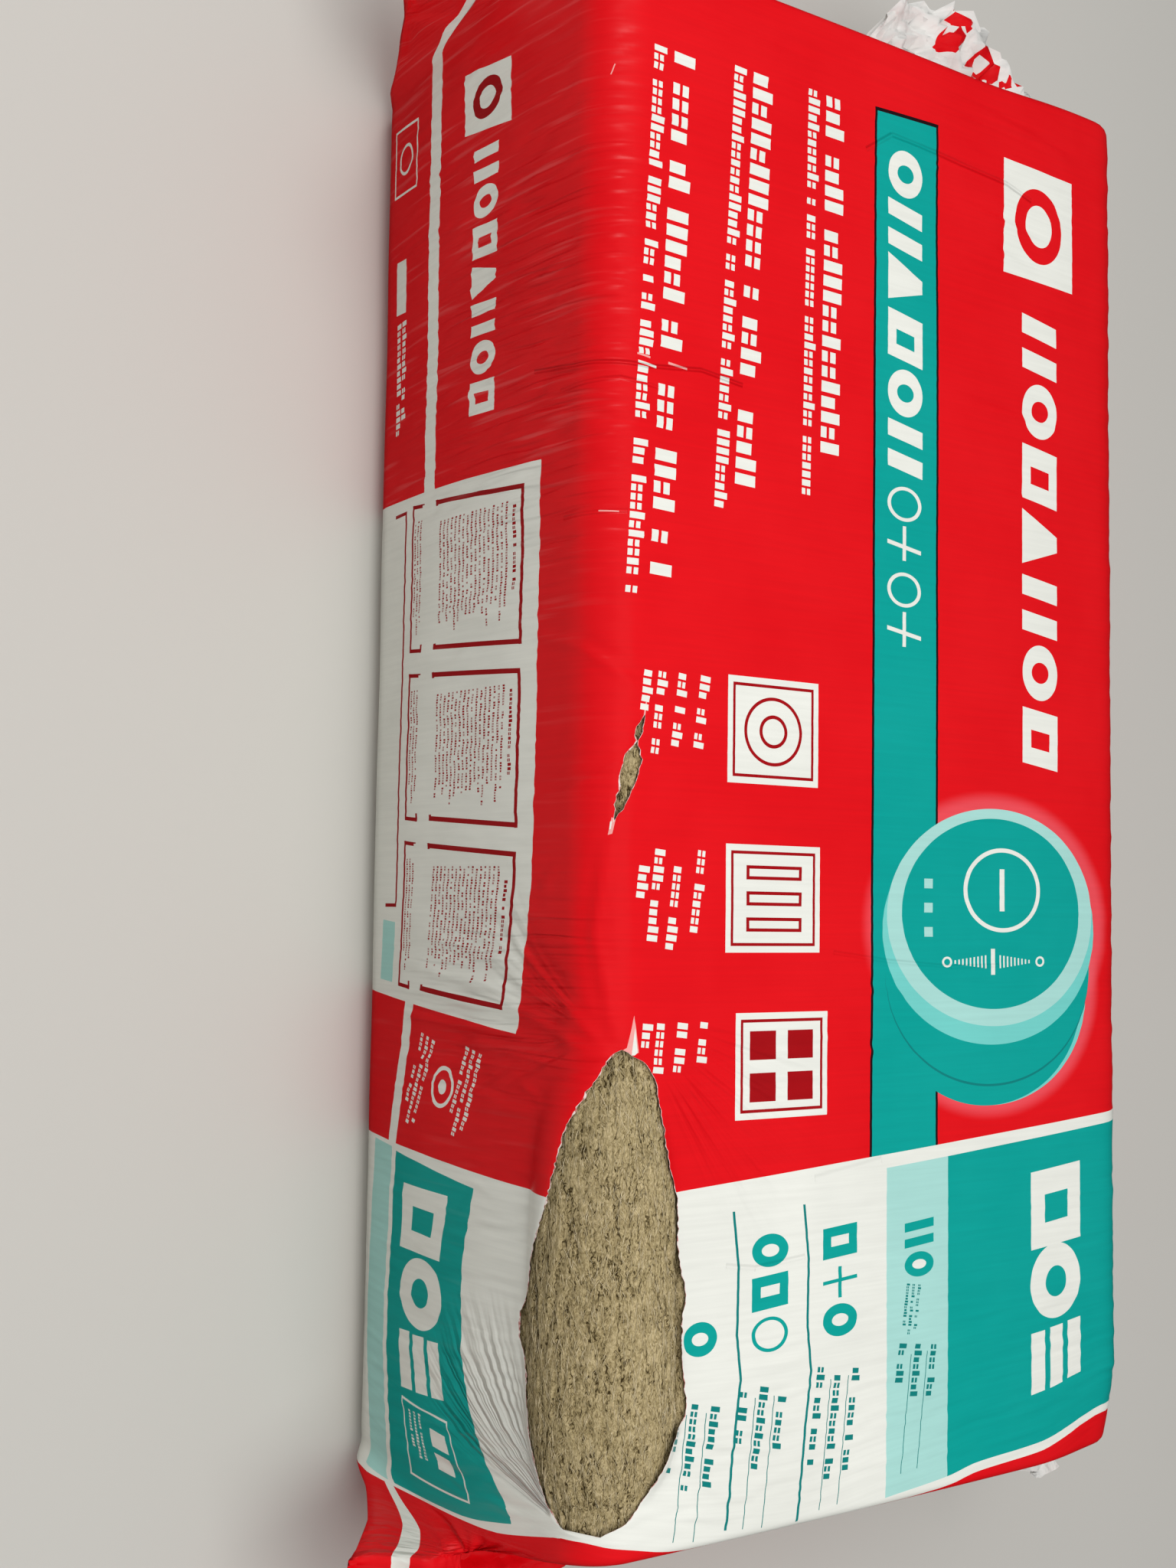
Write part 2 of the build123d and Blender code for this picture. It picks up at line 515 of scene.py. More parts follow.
@dataclass(frozen=True)
class SharpCrease:
    """A crease too sharp for the mesh, along a line of print positions."""

    line: Line
    height: float
    width: float = 2.4

    def bounds(self) -> Box:
        """Least x and y and greatest x and y, in print millimetres."""
        x, y = zip(*self.line)
        return min(x) - self.width, min(y) - self.width, max(x) + self.width, max(y) + self.width

    def lift(self, tree: Tree, place: Socket) -> Socket:
        """Nodes that give the crease's height in millimetres, as Patch has its mask."""
        total = None
        for (x0, y0), (x1, y1) in zip(self.line[:-1], self.line[1:]):
            long = math.hypot(x1 - x0, y1 - y0)
            ux, uy = (x1 - x0) / long, (y1 - y0) / long
            way = (-uy, ux, uy * x0 - ux * y0)
            across = add_node(tree, "VectorMath", {0: place, 1: way}, "Value", operation="DOT_PRODUCT")
            way = (ux / long, uy / long, -(ux * x0 + uy * y0) / long)
            along = add_node(tree, "VectorMath", {0: place, 1: way}, "Value", operation="DOT_PRODUCT")
            away = add_node(tree, "Math", {0: across}, operation="ABSOLUTE")
            given = {"Value": away, "From Max": self.width, "To Min": self.height, "To Max": 0.0}
            ridge = add_node(tree, "MapRange", given, interpolation_type="SMOOTHSTEP")
            here = add_node(tree, "Math", {0: along, 1: 0.5, 2: 0.5}, operation="COMPARE")
            part = add_node(tree, "Math", {0: ridge, 1: here}, operation="MULTIPLY")
            if total is not None:
                part = add_node(tree, "Math", {0: total, 1: part}, operation="MAXIMUM")
            total = part
        return total


@dataclass(frozen=True)
class Fan:
    """Sharp creases that spread from a point where the film is pulled.

    Lengths are in print millimetres, and heading, spread and pitch are angles in degrees.
    """

    centre: tuple[float, float]
    heading: float
    spread: float
    pitch: float
    reach: tuple[float, float]
    height: float
    crease_length: float = 1000 / 9

    def bounds(self) -> Box:
        """Least x and y and greatest x and y, in print millimetres."""
        x, y = [self.centre[0]], [self.centre[1]]
        for part in (-1.0, -0.5, 0.0, 0.5, 1.0):
            turn = math.radians(self.heading + part * self.spread)
            x.append(self.centre[0] + self.reach[1] * math.cos(turn))
            y.append(self.centre[1] + self.reach[1] * math.sin(turn))
        return min(x), min(y), max(x), max(y)

    def lift(self, tree: Tree, place: Socket) -> Socket:
        """Nodes that give the creases' height in millimetres, as Patch has its mask."""
        (x, y), turn = self.centre, math.radians(self.heading)
        ux, uy = math.cos(turn), math.sin(turn)
        way = (ux, uy, -ux * x - uy * y)
        ahead = add_node(tree, "VectorMath", {0: place, 1: way}, "Value", operation="DOT_PRODUCT")
        way = (-uy, ux, uy * x - ux * y)
        aside = add_node(tree, "VectorMath", {0: place, 1: way}, "Value", operation="DOT_PRODUCT")
        angle = add_node(tree, "Math", {0: aside, 1: ahead}, operation="ARCTAN2")
        both = add_node(tree, "CombineXYZ", {0: ahead, 1: aside})
        away = add_node(tree, "VectorMath", {0: both}, "Value", operation="LENGTH")
        spot = add_node(tree, "CombineXYZ", {0: angle, 1: away})
        scale = (1 / math.radians(self.pitch), 1 / self.crease_length, 1.0)
        spot = add_node(tree, "VectorMath", {0: spot, 1: scale}, operation="MULTIPLY")
        given = {"Vector": spot, "Scale": 1.0, "Detail": 1.5}
        noise = add_node(tree, "TexNoise", given, noise_dimensions="2D")
        wide = add_node(tree, "Math", {0: angle}, operation="ABSOLUTE")
        half, (near, far) = math.radians(self.spread), self.reach
        total = add_node(tree, "Math", {0: noise, 1: self.height}, operation="MULTIPLY")
        limits = ((wide, half, 0.6 * half), (away, near, 1.6 * near), (away, far, 0.55 * far))
        for value, start, end in limits:
            given = {"Value": value, "From Min": start, "From Max": end}
            mask = add_node(tree, "MapRange", given, interpolation_type="SMOOTHSTEP")
            total = add_node(tree, "Math", {0: total, 1: mask}, operation="MULTIPLY")
        return total


@dataclass(frozen=True)
class Patch:
    """A flat four-sided patch of one ink, with its corners anticlockwise in print millimetres."""

    corners: Line
    ink: Ink

    def bounds(self) -> Box:
        """Lowest and highest position along and round the pack."""
        along, around = zip(*self.corners)
        return min(along), min(around), max(along), max(around)

    def mask(self, tree: Tree, place: Socket) -> Socket:
        """Nodes that give 1 inside the patch and 0 outside.

        Args:
            tree: The material's node tree.
            place: The print position, with 1 as its third number.
        Returns:
            The mask's socket.
        """
        nearest = None
        for (a, b), (c, d) in zip(self.corners, self.corners[1:] + self.corners[:1]):
            long = math.hypot(c - a, d - b)
            way = ((b - d) / long, (c - a) / long, (a * (d - b) - b * (c - a)) / long)
            inside = add_node(tree, "VectorMath", {0: place, 1: way}, "Value", operation="DOT_PRODUCT")
            if nearest is not None:
                inside = add_node(tree, "Math", {0: nearest, 1: inside}, operation="MINIMUM")
            nearest = inside
        return add_node(tree, "Math", {0: nearest, 1: 0.0}, operation="GREATER_THAN")


@dataclass(frozen=True)
class Oval:
    """An oval of one ink, or a hoop where it has a hole, or a glow that fades out where it is soft."""

    centre: tuple[float, float]
    reach: tuple[float, float]
    ink: Ink
    hole: float = 0.0
    soft: float = 0.0
    glow: float = 0.62

    def bounds(self) -> Box:
        """Lowest and highest position along and round the pack."""
        grow = 1 + self.soft
        (x, y), (a, b) = self.centre, self.reach
        return x - a * grow, y - b * grow, x + a * grow, y + b * grow

    def mask(self, tree: Tree, place: Socket) -> Socket:
        """Nodes that give 1 on the oval and 0 off it, as Patch has them."""
        (x, y), (a, b) = self.centre, self.reach
        given = {0: place, 1: (1 / a, 1 / b, 0.0), 2: (-x / a, -y / b, 0.0)}
        local = add_node(tree, "VectorMath", given, operation="MULTIPLY_ADD")
        out = add_node(tree, "VectorMath", {0: local}, "Value", operation="LENGTH")
        if self.soft:
            given = {"Value": out, "From Min": 1.0, "From Max": 1 + self.soft}
            given |= {"To Min": self.glow, "To Max": 0.0}
            return add_node(tree, "MapRange", given, interpolation_type="SMOOTHSTEP")
        middle, half = ((1 + self.hole) / 2, (1 - self.hole) / 2) if self.hole else (0.0, 1.0)
        return add_node(tree, "Math", {0: out, 1: middle, 2: half}, operation="COMPARE")


@dataclass(frozen=True)
class TextBars:
    """Lines of plain small bars that stand for text, with no letters in them.

    Shares are of the number of bars: tall ones, gaps between words, ones with a slit, and how
    much shorter a line may end. Heights are shares of the bar's size.
    """

    start: tuple[float, float]
    end: tuple[float, float]
    lines: int
    pitch: float
    size: float
    ink: Ink
    cell: float = 0.0
    seed: float = 0.0
    cell_share: float = 0.62
    half_bar: float = 0.36
    short_above: float = 0.72
    short_drop: float = 0.26
    gap_below: float = 0.15
    slit_below: float = 0.55
    slit: tuple[float, float] = (0.62, 0.07)
    ragged_end: float = 0.22

    def bounds(self) -> Box:
        """Lowest and highest position along and round the pack."""
        low = min(self.start[1], self.end[1]) - self.pitch * self.lines
        return self.start[0] - 4, low, self.end[0] + 4, max(self.start[1], self.end[1])

    def mask(self, tree: Tree, place: Socket) -> Socket:
        """Nodes that give 1 on a bar and 0 between them, as Patch has them."""
        (x0, y0), (x1, y1) = self.start, self.end
        long = math.hypot(x1 - x0, y1 - y0)
        ux, uy = (x1 - x0) / long, (y1 - y0) / long
        cell, share = self.cell or self.cell_share * self.size, self.size / self.pitch
        way = (ux / cell, uy / cell, -(ux * x0 + uy * y0) / cell)
        step = add_node(tree, "VectorMath", {0: place, 1: way}, "Value", operation="DOT_PRODUCT")
        way = (uy / self.pitch, -ux / self.pitch, (ux * y0 - uy * x0) / self.pitch)
        line = add_node(tree, "VectorMath", {0: place, 1: way}, "Value", operation="DOT_PRODUCT")
        both = add_node(tree, "CombineXYZ", {0: step, 1: line})
        inside = add_node(tree, "VectorMath", {0: both}, operation="FRACTION")
        across, level = add_node(tree, "SeparateXYZ", {0: inside}).node.outputs[:2]
        number = add_node(tree, "VectorMath", {0: both}, operation="FLOOR")
        bar, row = add_node(tree, "SeparateXYZ", {0: number}).node.outputs[:2]
        given = {"Vector": number, "W": self.seed}
        draw = add_node(tree, "TexWhiteNoise", given, noise_dimensions="4D")
        short = add_node(tree, "Math", {0: draw, 1: self.short_above}, operation="GREATER_THAN")
        given = {0: short, 1: -self.short_drop * share, 2: self.short_drop * share}
        crown = add_node(tree, "Math", given, operation="MULTIPLY_ADD")
        ragged = add_node(tree, "TexWhiteNoise", {"W": row}, noise_dimensions="1D")
        count = long / cell
        given = {0: ragged, 1: -self.ragged_end * count if self.lines > 1 else 0.0, 2: count}
        last = add_node(tree, "Math", given, operation="MULTIPLY_ADD")
        slit_at, slit_half = (part * share for part in self.slit)
        slit = add_node(tree, "Math", {0: level, 1: slit_at, 2: slit_half}, operation="COMPARE")
        slitted = add_node(tree, "Math", {0: draw, 1: self.slit_below}, operation="LESS_THAN")
        slit = add_node(tree, "Math", {0: slit, 1: slitted}, operation="MULTIPLY")
        total = add_node(tree, "Math", {0: 1.0, 1: slit}, operation="SUBTRACT")
        middle = (self.lines - 1) / 2
        tests = (
            ("COMPARE", across, 0.5, self.half_bar),
            ("GREATER_THAN", level, crown, 0.0),
            ("LESS_THAN", level, share, 0.0),
            ("GREATER_THAN", draw, self.gap_below, 0.0),
            ("GREATER_THAN", bar, -0.5, 0.0),
            ("LESS_THAN", bar, last, 0.0),
            ("COMPARE", row, middle, middle + 0.5),
        )
        for operation, value, limit, width in tests:
            part = add_node(tree, "Math", {0: value, 1: limit, 2: width}, operation=operation)
            total = add_node(tree, "Math", {0: total, 1: part}, operation="MULTIPLY")
        return total


Shape = Patch | Oval | TextBars


class Figure(Enum):
    """Plain figures that stand where the bag has large characters."""

    SLOTTED = 0
    RING = 1
    WEDGE = 2
    BARS = 3
    THIN_RING = 4
    CROSS = 5

    def shapes(
        self, x0: float, y0: float, x1: float, y1: float, ink: Ink, ground: Ink, lean: float = 0.0
    ) -> list[Shape]:
        """The figure's shapes between two corners, its upper edge carried along by lean."""
        wide, tall = x1 - x0, y1 - y0
        x, y = (x0 + x1 + lean) / 2, (y0 + y1) / 2
        if self is Figure.SLOTTED:
            slot = box(x - 0.16 * wide, y - 0.26 * tall, x + 0.16 * wide, y + 0.26 * tall, ground, lean / 2)
            return [box(x0, y0, x1, y1, ink, lean), slot]
        if self is Figure.RING:
            reach = (wide / 2, tall / 2)
            return [Oval((x, y), reach, ink), Oval((x, y), (0.19 * wide, 0.24 * tall), ground)]
        if self is Figure.WEDGE:
            tip = 0.14 * wide
            return [Patch(((x0, y0), (x1, y0), (x + tip, y1), (x - tip, y1)), ink)]
        if self is Figure.BARS:
            left = box(x0, y0, x0 + 0.36 * wide, y1, ink, lean)
            return [left, box(x1 - 0.36 * wide, y0, x1, y1, ink, lean)]
        if self is Figure.THIN_RING:
            return [Oval((x, y), (wide / 2, tall / 2), ink, hole=0.8)]
        upright = box(x - lean / 2 - 0.06 * wide, y0, x - lean / 2 + 0.06 * wide, y1, ink, lean)
        return [upright, box(x0, y - 0.05 * tall, x1, y + 0.05 * tall, ink)]


def figure_row(
    figures: tuple[Figure, ...],
    start: float,
    pitch: float,
    wide: float,
    levels: tuple[float, float],
    ink: Ink,
    ground: Ink,
    lean: float = 0.0,
) -> list[Shape]:
    """A row of figures.

    Args:
        figures: The figures, from left to right.
        start: Where the first begins, along the pack.
        pitch: Distance from one to the next.
        wide: Width of each.
        levels: Lower and upper edge, round the pack.
        ink: The figures' ink.
        ground: The ink round them, which shows in their holes.
        lean: How far the upper edges are carried along.
    Returns:
        The shapes.
    """
    low, high = levels
    shapes: list[Shape] = []
    for number, figure in enumerate(figures):
        x = start + number * pitch
        shapes += figure.shapes(x, low, x + wide, high, ink, ground, lean)
    return shapes


def box(x0: float, y0: float, x1: float, y1: float, ink: Ink, lean: float = 0.0) -> Patch:
    """A patch between two corners, its upper edge carried along by lean."""
    return Patch(((x0, y0), (x1, y0), (x1 + lean, y1), (x0 + lean, y1)), ink)


def rule(start: tuple[float, float], end: tuple[float, float], thick: float, ink: Ink) -> Patch:
    """A ruled line whose lower edge runs between two places."""
    (x0, y0), (x1, y1) = start, end
    return Patch(((x0, y0), (x1, y1), (x1, y1 + thick), (x0, y0 + thick)), ink)


def frame_of(
    x0: float, y0: float, x1: float, y1: float, wide: float, ink: Ink, lean: float = 0.0
) -> list[Patch]:
    """The four sides of a frame between two corners, its upper side carried along by lean."""
    return [
        box(x0, y0, x0 + wide, y1, ink, lean),
        box(x1 - wide, y0, x1, y1, ink, lean),
        box(x0, y0, x1, y0 + wide, ink),
        box(x0 + lean, y1 - wide, x1 + lean, y1, ink),
    ]


@dataclass
class BagPrint:
    """The print on the bag, as shapes in print millimetres, drawn in order.

    A material can hold only so many nodes, so the print is split into zones with one each.
    """

    splits_along: tuple[float, ...] = (-235.0, 38.0, 302.0)
    splits_around: tuple[float, ...] = (0.0, 250.0)
    outer: Box = (-660.0, -360.0, 660.0, 600.0)
    printed: Box = (-640.0, -340.0, 640.0, 580.0)
    margin: float = 14.0
    name_row: tuple[Figure, ...] = (
        Figure.BARS, Figure.RING, Figure.SLOTTED, Figure.WEDGE, Figure.BARS, Figure.RING, Figure.SLOTTED,
    )
    stripe_row: tuple[Figure, ...] = (
        Figure.RING, Figure.BARS, Figure.WEDGE, Figure.SLOTTED, Figure.RING, Figure.BARS,
    )
    shapes: list[Shape] = field(default_factory=list)

    def lay_out(self) -> None:
        """Lists every shape of the print."""
        self.shapes += self.end_bands()
        self.shapes += self.top_left()
        self.shapes += self.emblem()
        self.shapes += self.small_pictures()
        self.shapes += self.data_panel()
        self.shapes += self.front_left()
        self.shapes += self.front_notes()
        self.shapes += self.front_panel()

    def end_bands(self) -> list[Shape]:
        """The white bands, the bare plastic at the welds, the pale marks of stretched film at the tears'
        tips, and painted glints: thin pale strokes on creases that stand in for highlights.
        """
        return [
            Patch(((-950, -247), (-212, -241), (-212, -222), (-950, -229)), Ink.WHITE),
            box(-212, -248, 345, -232, Ink.WHITE),
            box(600, -247, 950, -236, Ink.WHITE),
            box(-950, 640, 950, 656, Ink.WHITE),
            box(-1000, -700, -778, 1300, Ink.BARE),
            box(778, 300, 1000, 1300, Ink.BARE),
            Patch(((-915, 540), (-888, 520), (-881, 529), (-886, 650)), Ink.RED),
            Patch(((-943, 506), (-888, 476), (-891, 500), (-929, 524)), Ink.RED),
            Patch(((209, 25), (238, 18), (238, 24), (236, 29)), Ink.STRESS_AND_GLINT),
            Patch(((218, 25.6), (238, 23), (238, 25.6), (236, 28)), Ink.WHITE),
            Patch(((232, 20), (240, 6), (241.5, 9), (238, 21)), Ink.STRESS_AND_GLINT),
            Patch(((-28, 32.3), (-11, 29), (-11, 30.4), (-27, 33.2)), Ink.STRESS_AND_GLINT),
            # The next five patches are painted glints: thin pale strokes on creases of the top and the front
            # edge, standing in for highlights.
            Patch(((-283.6, 48), (-281.8, 48), (-280.4, 66), (-282, 66)), Ink.STRESS_AND_GLINT),
            Patch(((-280.6, 21), (-278.6, 21), (-276.4, 37), (-278.4, 37)), Ink.WHITE),
            Patch(((-286, 20), (-284.6, 20), (-283, 31), (-284.4, 31)), Ink.STRESS_AND_GLINT),
            Patch(((-165.4, -7), (-164.2, -7), (-163.6, 8), (-164.6, 8)), Ink.STRESS_AND_GLINT),
            Patch(((-508, 0), (-500, -3), (-499.6, -2.2), (-508, 1)), Ink.STRESS_AND_GLINT),
            Patch(((64, 5.8), (77, 3.2), (76, 6.4), (65, 8.8)), Ink.STRESS_AND_GLINT),
            Patch(((67, 4.8), (73, 4.1), (72.5, 5.4), (67, 6.1)), Ink.WHITE),
        ]

    def top_left(self) -> list[Shape]:
        """The mark, the long rows of blocks, the stripe and three pairs of text lines."""
        shapes: list[Shape] = [
            box(-537, 416, -434, 511, Ink.WHITE),
            Oval((-485, 463), (34, 32), Ink.RED),
            Oval((-485, 463), (19, 18), Ink.WHITE),
            Oval((140, 404), (103, 141), Ink.GLOW, soft=0.13),
            Oval((194, 404), (99, 129), Ink.GLOW, soft=0.13),
            Patch(((-540, 259), (330, 258), (334, 335), (-544, 334)), Ink.OUTLINE),
            Patch(((-537, 261.5), (330, 260.5), (334, 332.5), (-541, 331.5)), Ink.TEAL),
        ]
        thin_row = (Figure.THIN_RING, Figure.CROSS) * 2
        shapes += figure_row(self.name_row, -402, 58.5, 49, (440, 487), Ink.WHITE, Ink.RED, 6)
        shapes += figure_row(self.stripe_row, -514, 47, 40, (275, 315), Ink.WHITE, Ink.TEAL, 7)
        shapes += figure_row(thin_row, -226, 36, 29, (275, 314), Ink.WHITE, Ink.TEAL, 6)
        pairs = ((-536, 225, -245, 221, -206), (-534, 149, -197, 133, -182), (-529, 71, -121, 53, -107))
        for number, (x, y, bold_x, bold_y, plain_x) in enumerate(pairs):
            slope = (bold_y - y) / (bold_x - x)
            end = (plain_x, y - 27 + slope * (plain_x - x))
            shapes.append(TextBars((x, y), (bold_x, bold_y), 1, 26, 20, Ink.WHITE, 12.5, 3.0 + number))
            shapes.append(TextBars((x, y - 27), end, 1, 18, 12, Ink.WHITE, 7.0, 8.0 + number))
        return shapes

    def emblem(self) -> list[Shape]:
        """A plain emblem of overlapping ovals, with a hoop and a scale of ticks."""
        shapes: list[Shape] = [
            Oval((199, 403), (93, 124), Ink.LIGHT_TEAL),
            Oval((199, 399), (93, 122), Ink.TEAL),
            Oval((180, 403), (96, 129), Ink.DARK_TEAL),
            Oval((178, 403), (96, 129), Ink.TEAL),
            Oval((145, 405), (96, 134), Ink.LIGHT_TEAL),
            Oval((133, 406), (92.5, 130), Ink.PALE_TEAL),
            Oval((130, 405), (81, 112), Ink.TEAL),
            Oval((110, 414), (36, 48), Ink.WHITE, hole=0.9),
            box(92, 410, 128, 416, Ink.WHITE),
            box(160, 399, 182, 404, Ink.WHITE),
            Oval((171, 462), (4.5, 6), Ink.WHITE, hole=0.6),
            Oval((171, 346), (4.5, 6), Ink.WHITE, hole=0.6),
        ]
        for step in range(9):
            for side in (-1, 1):
                level = 401.5 + side * (9 + 4.6 * step)
                half = 5.5 - 0.5 * step
                shapes.append(box(171 - half, level - 0.9, 171 + half, level + 0.9, Ink.WHITE))
        for along in (106, 126, 146):
            shapes.append(box(along - 4, 319, along + 4, 329, Ink.PALE_TEAL))
        return shapes

    def small_pictures(self) -> list[Shape]:
        """Three white squares with plain figures, and the short lines under them."""
        shapes: list[Shape] = []
        for x0, y0, x1, y1 in ((-50, 109, 33, 200), (80, 108, 163, 203), (209, 119, 290, 212)):
            shapes.append(box(x0, y0, x1, y1, Ink.WHITE))
            shapes += frame_of(x0 + 5, y0 + 5, x1 - 5, y1 - 5, 2.4, Ink.DEEP_RED)
        for reach, hole in (((27, 29), 0.9), ((13, 14), 0.78)):
            shapes.append(Oval((-8.5, 154), reach, Ink.DEEP_RED, hole=hole))
        for step in (-20, 0, 20):
            shapes.append(box(116 + step, 128, 127 + step, 184, Ink.DEEP_RED))
            shapes.append(box(118.6 + step, 131, 124.4 + step, 181, Ink.WHITE))
        for along in (234, 266):
            for level in (146, 184):
                shapes.append(box(along - 11, level - 13, along + 11, level + 13, Ink.DEEP_RED))
        rows = ((0, 1.0, 0.12, 0), (21, 1.0, 0.12, 1), (40, 0.95, 0.1, 40), (53, 0.5, 0.1, 53))
        for x, y, long in ((-47, 92, 62), (86, 91, 72), (215, 95, 36)):
            for drop, share, fall, seed in rows:
                end = (x + share * long, y - drop - fall * share * long)
                shapes.append(TextBars((x, y - drop), end, 1, 13, 9.5, Ink.WHITE, 6.4, x + seed))
        return shapes

    def data_panel(self) -> list[Shape]:
        """The teal and white panel at the right of the top."""
        shapes: list[Shape] = [
            Patch(((344, 0), (600, 0), (600, 640), (300, 640)), Ink.WHITE),
            Patch(((331, 347), (592, 347), (592, 640), (309, 640)), Ink.TEAL),
            Patch(((336, 277), (592, 277), (592, 347), (331, 347)), Ink.PALE_TEAL),
            box(352, 450, 418, 517, Ink.WHITE, -6),
            box(372, 468, 396, 499, Ink.TEAL, -3),
            Oval((448, 483), (34, 34), Ink.WHITE),
            Oval((448, 483), (14, 14), Ink.TEAL),
            box(492, 450, 548, 468, Ink.WHITE, -1),
            box(490, 475, 547, 492, Ink.WHITE, -1),
            box(488, 499, 545, 517, Ink.WHITE, -1),
        ]
        rows = (
            ((Figure.BARS, Figure.RING), 382, 25, 20, (297, 330)),
            ((Figure.SLOTTED, Figure.CROSS, Figure.RING), 379, 30, 24, (209, 245)),
            ((Figure.RING, Figure.SLOTTED, Figure.THIN_RING), 379, 31, 25, (137, 173)),
            ((Figure.RING,), 438, 27, 25, (72, 104)),
        )
        for figures, start, pitch, wide, levels in rows:
            shapes += figure_row(figures, start, pitch, wide, levels, Ink.TEAL, Ink.WHITE, -3)
        lines = ((432, 316, 40), (482, 336, 44), (487, 249, 80), (491, 173, 56), (498, 108, 60))
        for number, (x, y, long) in enumerate(lines):
            pitch, size = (18.5, 8.5) if number else (6.5, 3.6)
            end = (x + long, y - 0.16 * long)
            shapes.append(TextBars((x, y), end, 3, pitch, size, Ink.DARK_TEAL, 0, 30.0 + number))
            for level in (y - 13.5, y - 32.0) if number else ():
                shapes.append(rule((x + 4, level), (x + 95, level - 11), 0.8, Ink.DARK_TEAL))
        waves = ((358, 0), (400, 5), (450, 4), (482, 8), (524, 2), (586, -5))
        for level in (189 - 1.2, 119 - 1.2):
            for (start, left), (end, right) in zip(waves[:-1], waves[1:]):
                shapes.append(rule((start, level + left), (end, level + right), 2.4, Ink.DARK_TEAL))
        return shapes

    def front_left(self) -> list[Shape]:
        """The mark and block row on the front, and the outlines low down."""
        return [
            Patch(((-561, -186), (-508, -184), (-498, -114), (-552, -116)), Ink.WHITE),
            Oval((-530, -150), (17, 22), Ink.DEEP_RED),
            Oval((-530, -150), (9, 12), Ink.WHITE),
            *frame_of(-560, -318, -498, -270, 2.2, Ink.WHITE, 3),
            Oval((-528, -294), (14, 14), Ink.WHITE, hole=0.8),
            box(-438, -309, -390, -288, Ink.WHITE, 2),
            TextBars((-382, -287), (-280, -284), 2, 11, 8.5, Ink.WHITE, 6.0, 51.0),
            *figure_row(self.name_row, -490, 32.5, 27, (-169, -132), Ink.WHITE, Ink.RED, 2),
        ]

    def front_notes(self) -> list[Shape]:
        """The white panel of small text in red frames, and the small white marks beside it."""
        red = Ink.DEEP_RED
        shapes: list[Shape] = [
            Patch(((-222, -360), (201, -360), (227, -68), (-213.5, -68)), Ink.WHITE),
        ]
        for left, right in ((-208, -82), (-63, 60.5), (79, 200.5)):
            seed = 60.0 + left
            shapes += frame_of(left, -220, right, -88, 4.0, red, 9.5)
            shapes += frame_of(left - 3, -264, right - 2, -241, 3.2, red, 2)
            shapes += [
                box(left + 5, -221, right - 5, -215.5, Ink.WHITE),
                box(left, -245, right - 7, -240, Ink.WHITE),
                TextBars((left + 24, -98), (right - 34, -98), 1, 8, 4.4, red, 3.4, seed),
                TextBars((left + 20, -109), (right - 10, -110), 17, 6.2, 2.8, red, 2.1, seed + 1),
                TextBars((left + 12, -245), (right - 14, -245), 3, 5.4, 2.6, red, 2.0, seed + 2),
            ]
        shapes += [
            box(-209, -300, 132, -276, red),
            box(-206, -300, 129, -279, Ink.WHITE),
            box(143, -303, 194, -277, Ink.PALE_TEAL, 2),
            TextBars((246, -112), (316, -128), 3, 10, 5.6, Ink.WHITE, 4.0, 71.0),
            Oval((276, -166), (17, 17), Ink.WHITE, hole=0.8),
            Oval((276, -166), (6, 6), Ink.WHITE),
            TextBars((240, -186), (316, -204), 3, 10, 5.6, Ink.WHITE, 4.0, 72.0),
        ]
        return shapes

    def front_panel(self) -> list[Shape]:
        """The teal panel on the front under the long tear."""
        return [
            Patch(((322, -360), (600, -360), (600, 0), (344, 0)), Ink.WHITE),
            Patch(((336, -232), (594, -232), (592, -104), (350, -104)), Ink.TEAL),
            Patch(((330, -278), (592, -278), (594, -240), (333, -240)), Ink.PALE_TEAL),
            box(360, -213, 413, -139, Ink.WHITE, 1),
            box(377, -194, 397, -158, Ink.TEAL, 1),
            Oval((444, -171), (27, 37), Ink.WHITE),
            Oval((444, -171), (11, 15), Ink.TEAL),
            box(476, -207, 517, -188, Ink.WHITE, -1),
            box(476, -182, 516, -163, Ink.WHITE, -1),
            box(476, -157, 515, -139, Ink.WHITE, -1),
            *frame_of(523, -207, 577, -142, 1.6, Ink.WHITE, 5),
            box(537, -170, 549, -150, Ink.WHITE, 2),
            box(553, -170, 564, -152, Ink.WHITE, 2),
            TextBars((530, -181), (564, -181), 3, 7, 3.4, Ink.WHITE, 0, 81.0),
        ]

    def zone_count(self) -> int:
        """How many zones the print has, with the plain one of the ends, back and underside last."""
        return (len(self.splits_along) + 1) * (len(self.splits_around) + 1) + 1

    def zone_of(self, at: np.ndarray) -> np.ndarray:
        """The number of the zone that each print position lies in."""
        x0, y0, x1, y1 = self.printed
        along = np.searchsorted(self.splits_along, at[:, 0])
        around = np.searchsorted(self.splits_around, at[:, 1])
        zone = along + (len(self.splits_along) + 1) * around
        plain = (at[:, 0] < x0) | (at[:, 0] > x1) | (at[:, 1] < y0) | (at[:, 1] > y1)
        return np.where(plain, self.zone_count() - 1, zone)

    def zone_box(self, number: int) -> Box:
        """The least and greatest print positions of a zone, which are all 0 for the plain one."""
        if number == self.zone_count() - 1:
            return 0.0, 0.0, 0.0, 0.0
        x = (self.outer[0], *self.splits_along, self.outer[2])
        y = (self.outer[1], *self.splits_around, self.outer[3])
        j, i = divmod(number, len(self.splits_along) + 1)
        gap = self.margin
        return x[i] - gap, y[j] - gap, x[i + 1] + gap, y[j + 1] + gap

    def zone_shapes(self, number: int) -> list[Shape]:
        """The shapes that reach into a zone, in drawing order."""
        zone = self.zone_box(number)
        if number < self.zone_count() - 1:
            return [shape for shape in self.shapes if boxes_meet(shape.bounds(), zone)]
        x0, y0, x1, y1 = self.printed
        inner = (x0 + self.margin, y0 + self.margin, x1 - self.margin, y1 - self.margin)
        return [shape for shape in self.shapes if not box_within(shape.bounds(), inner)]


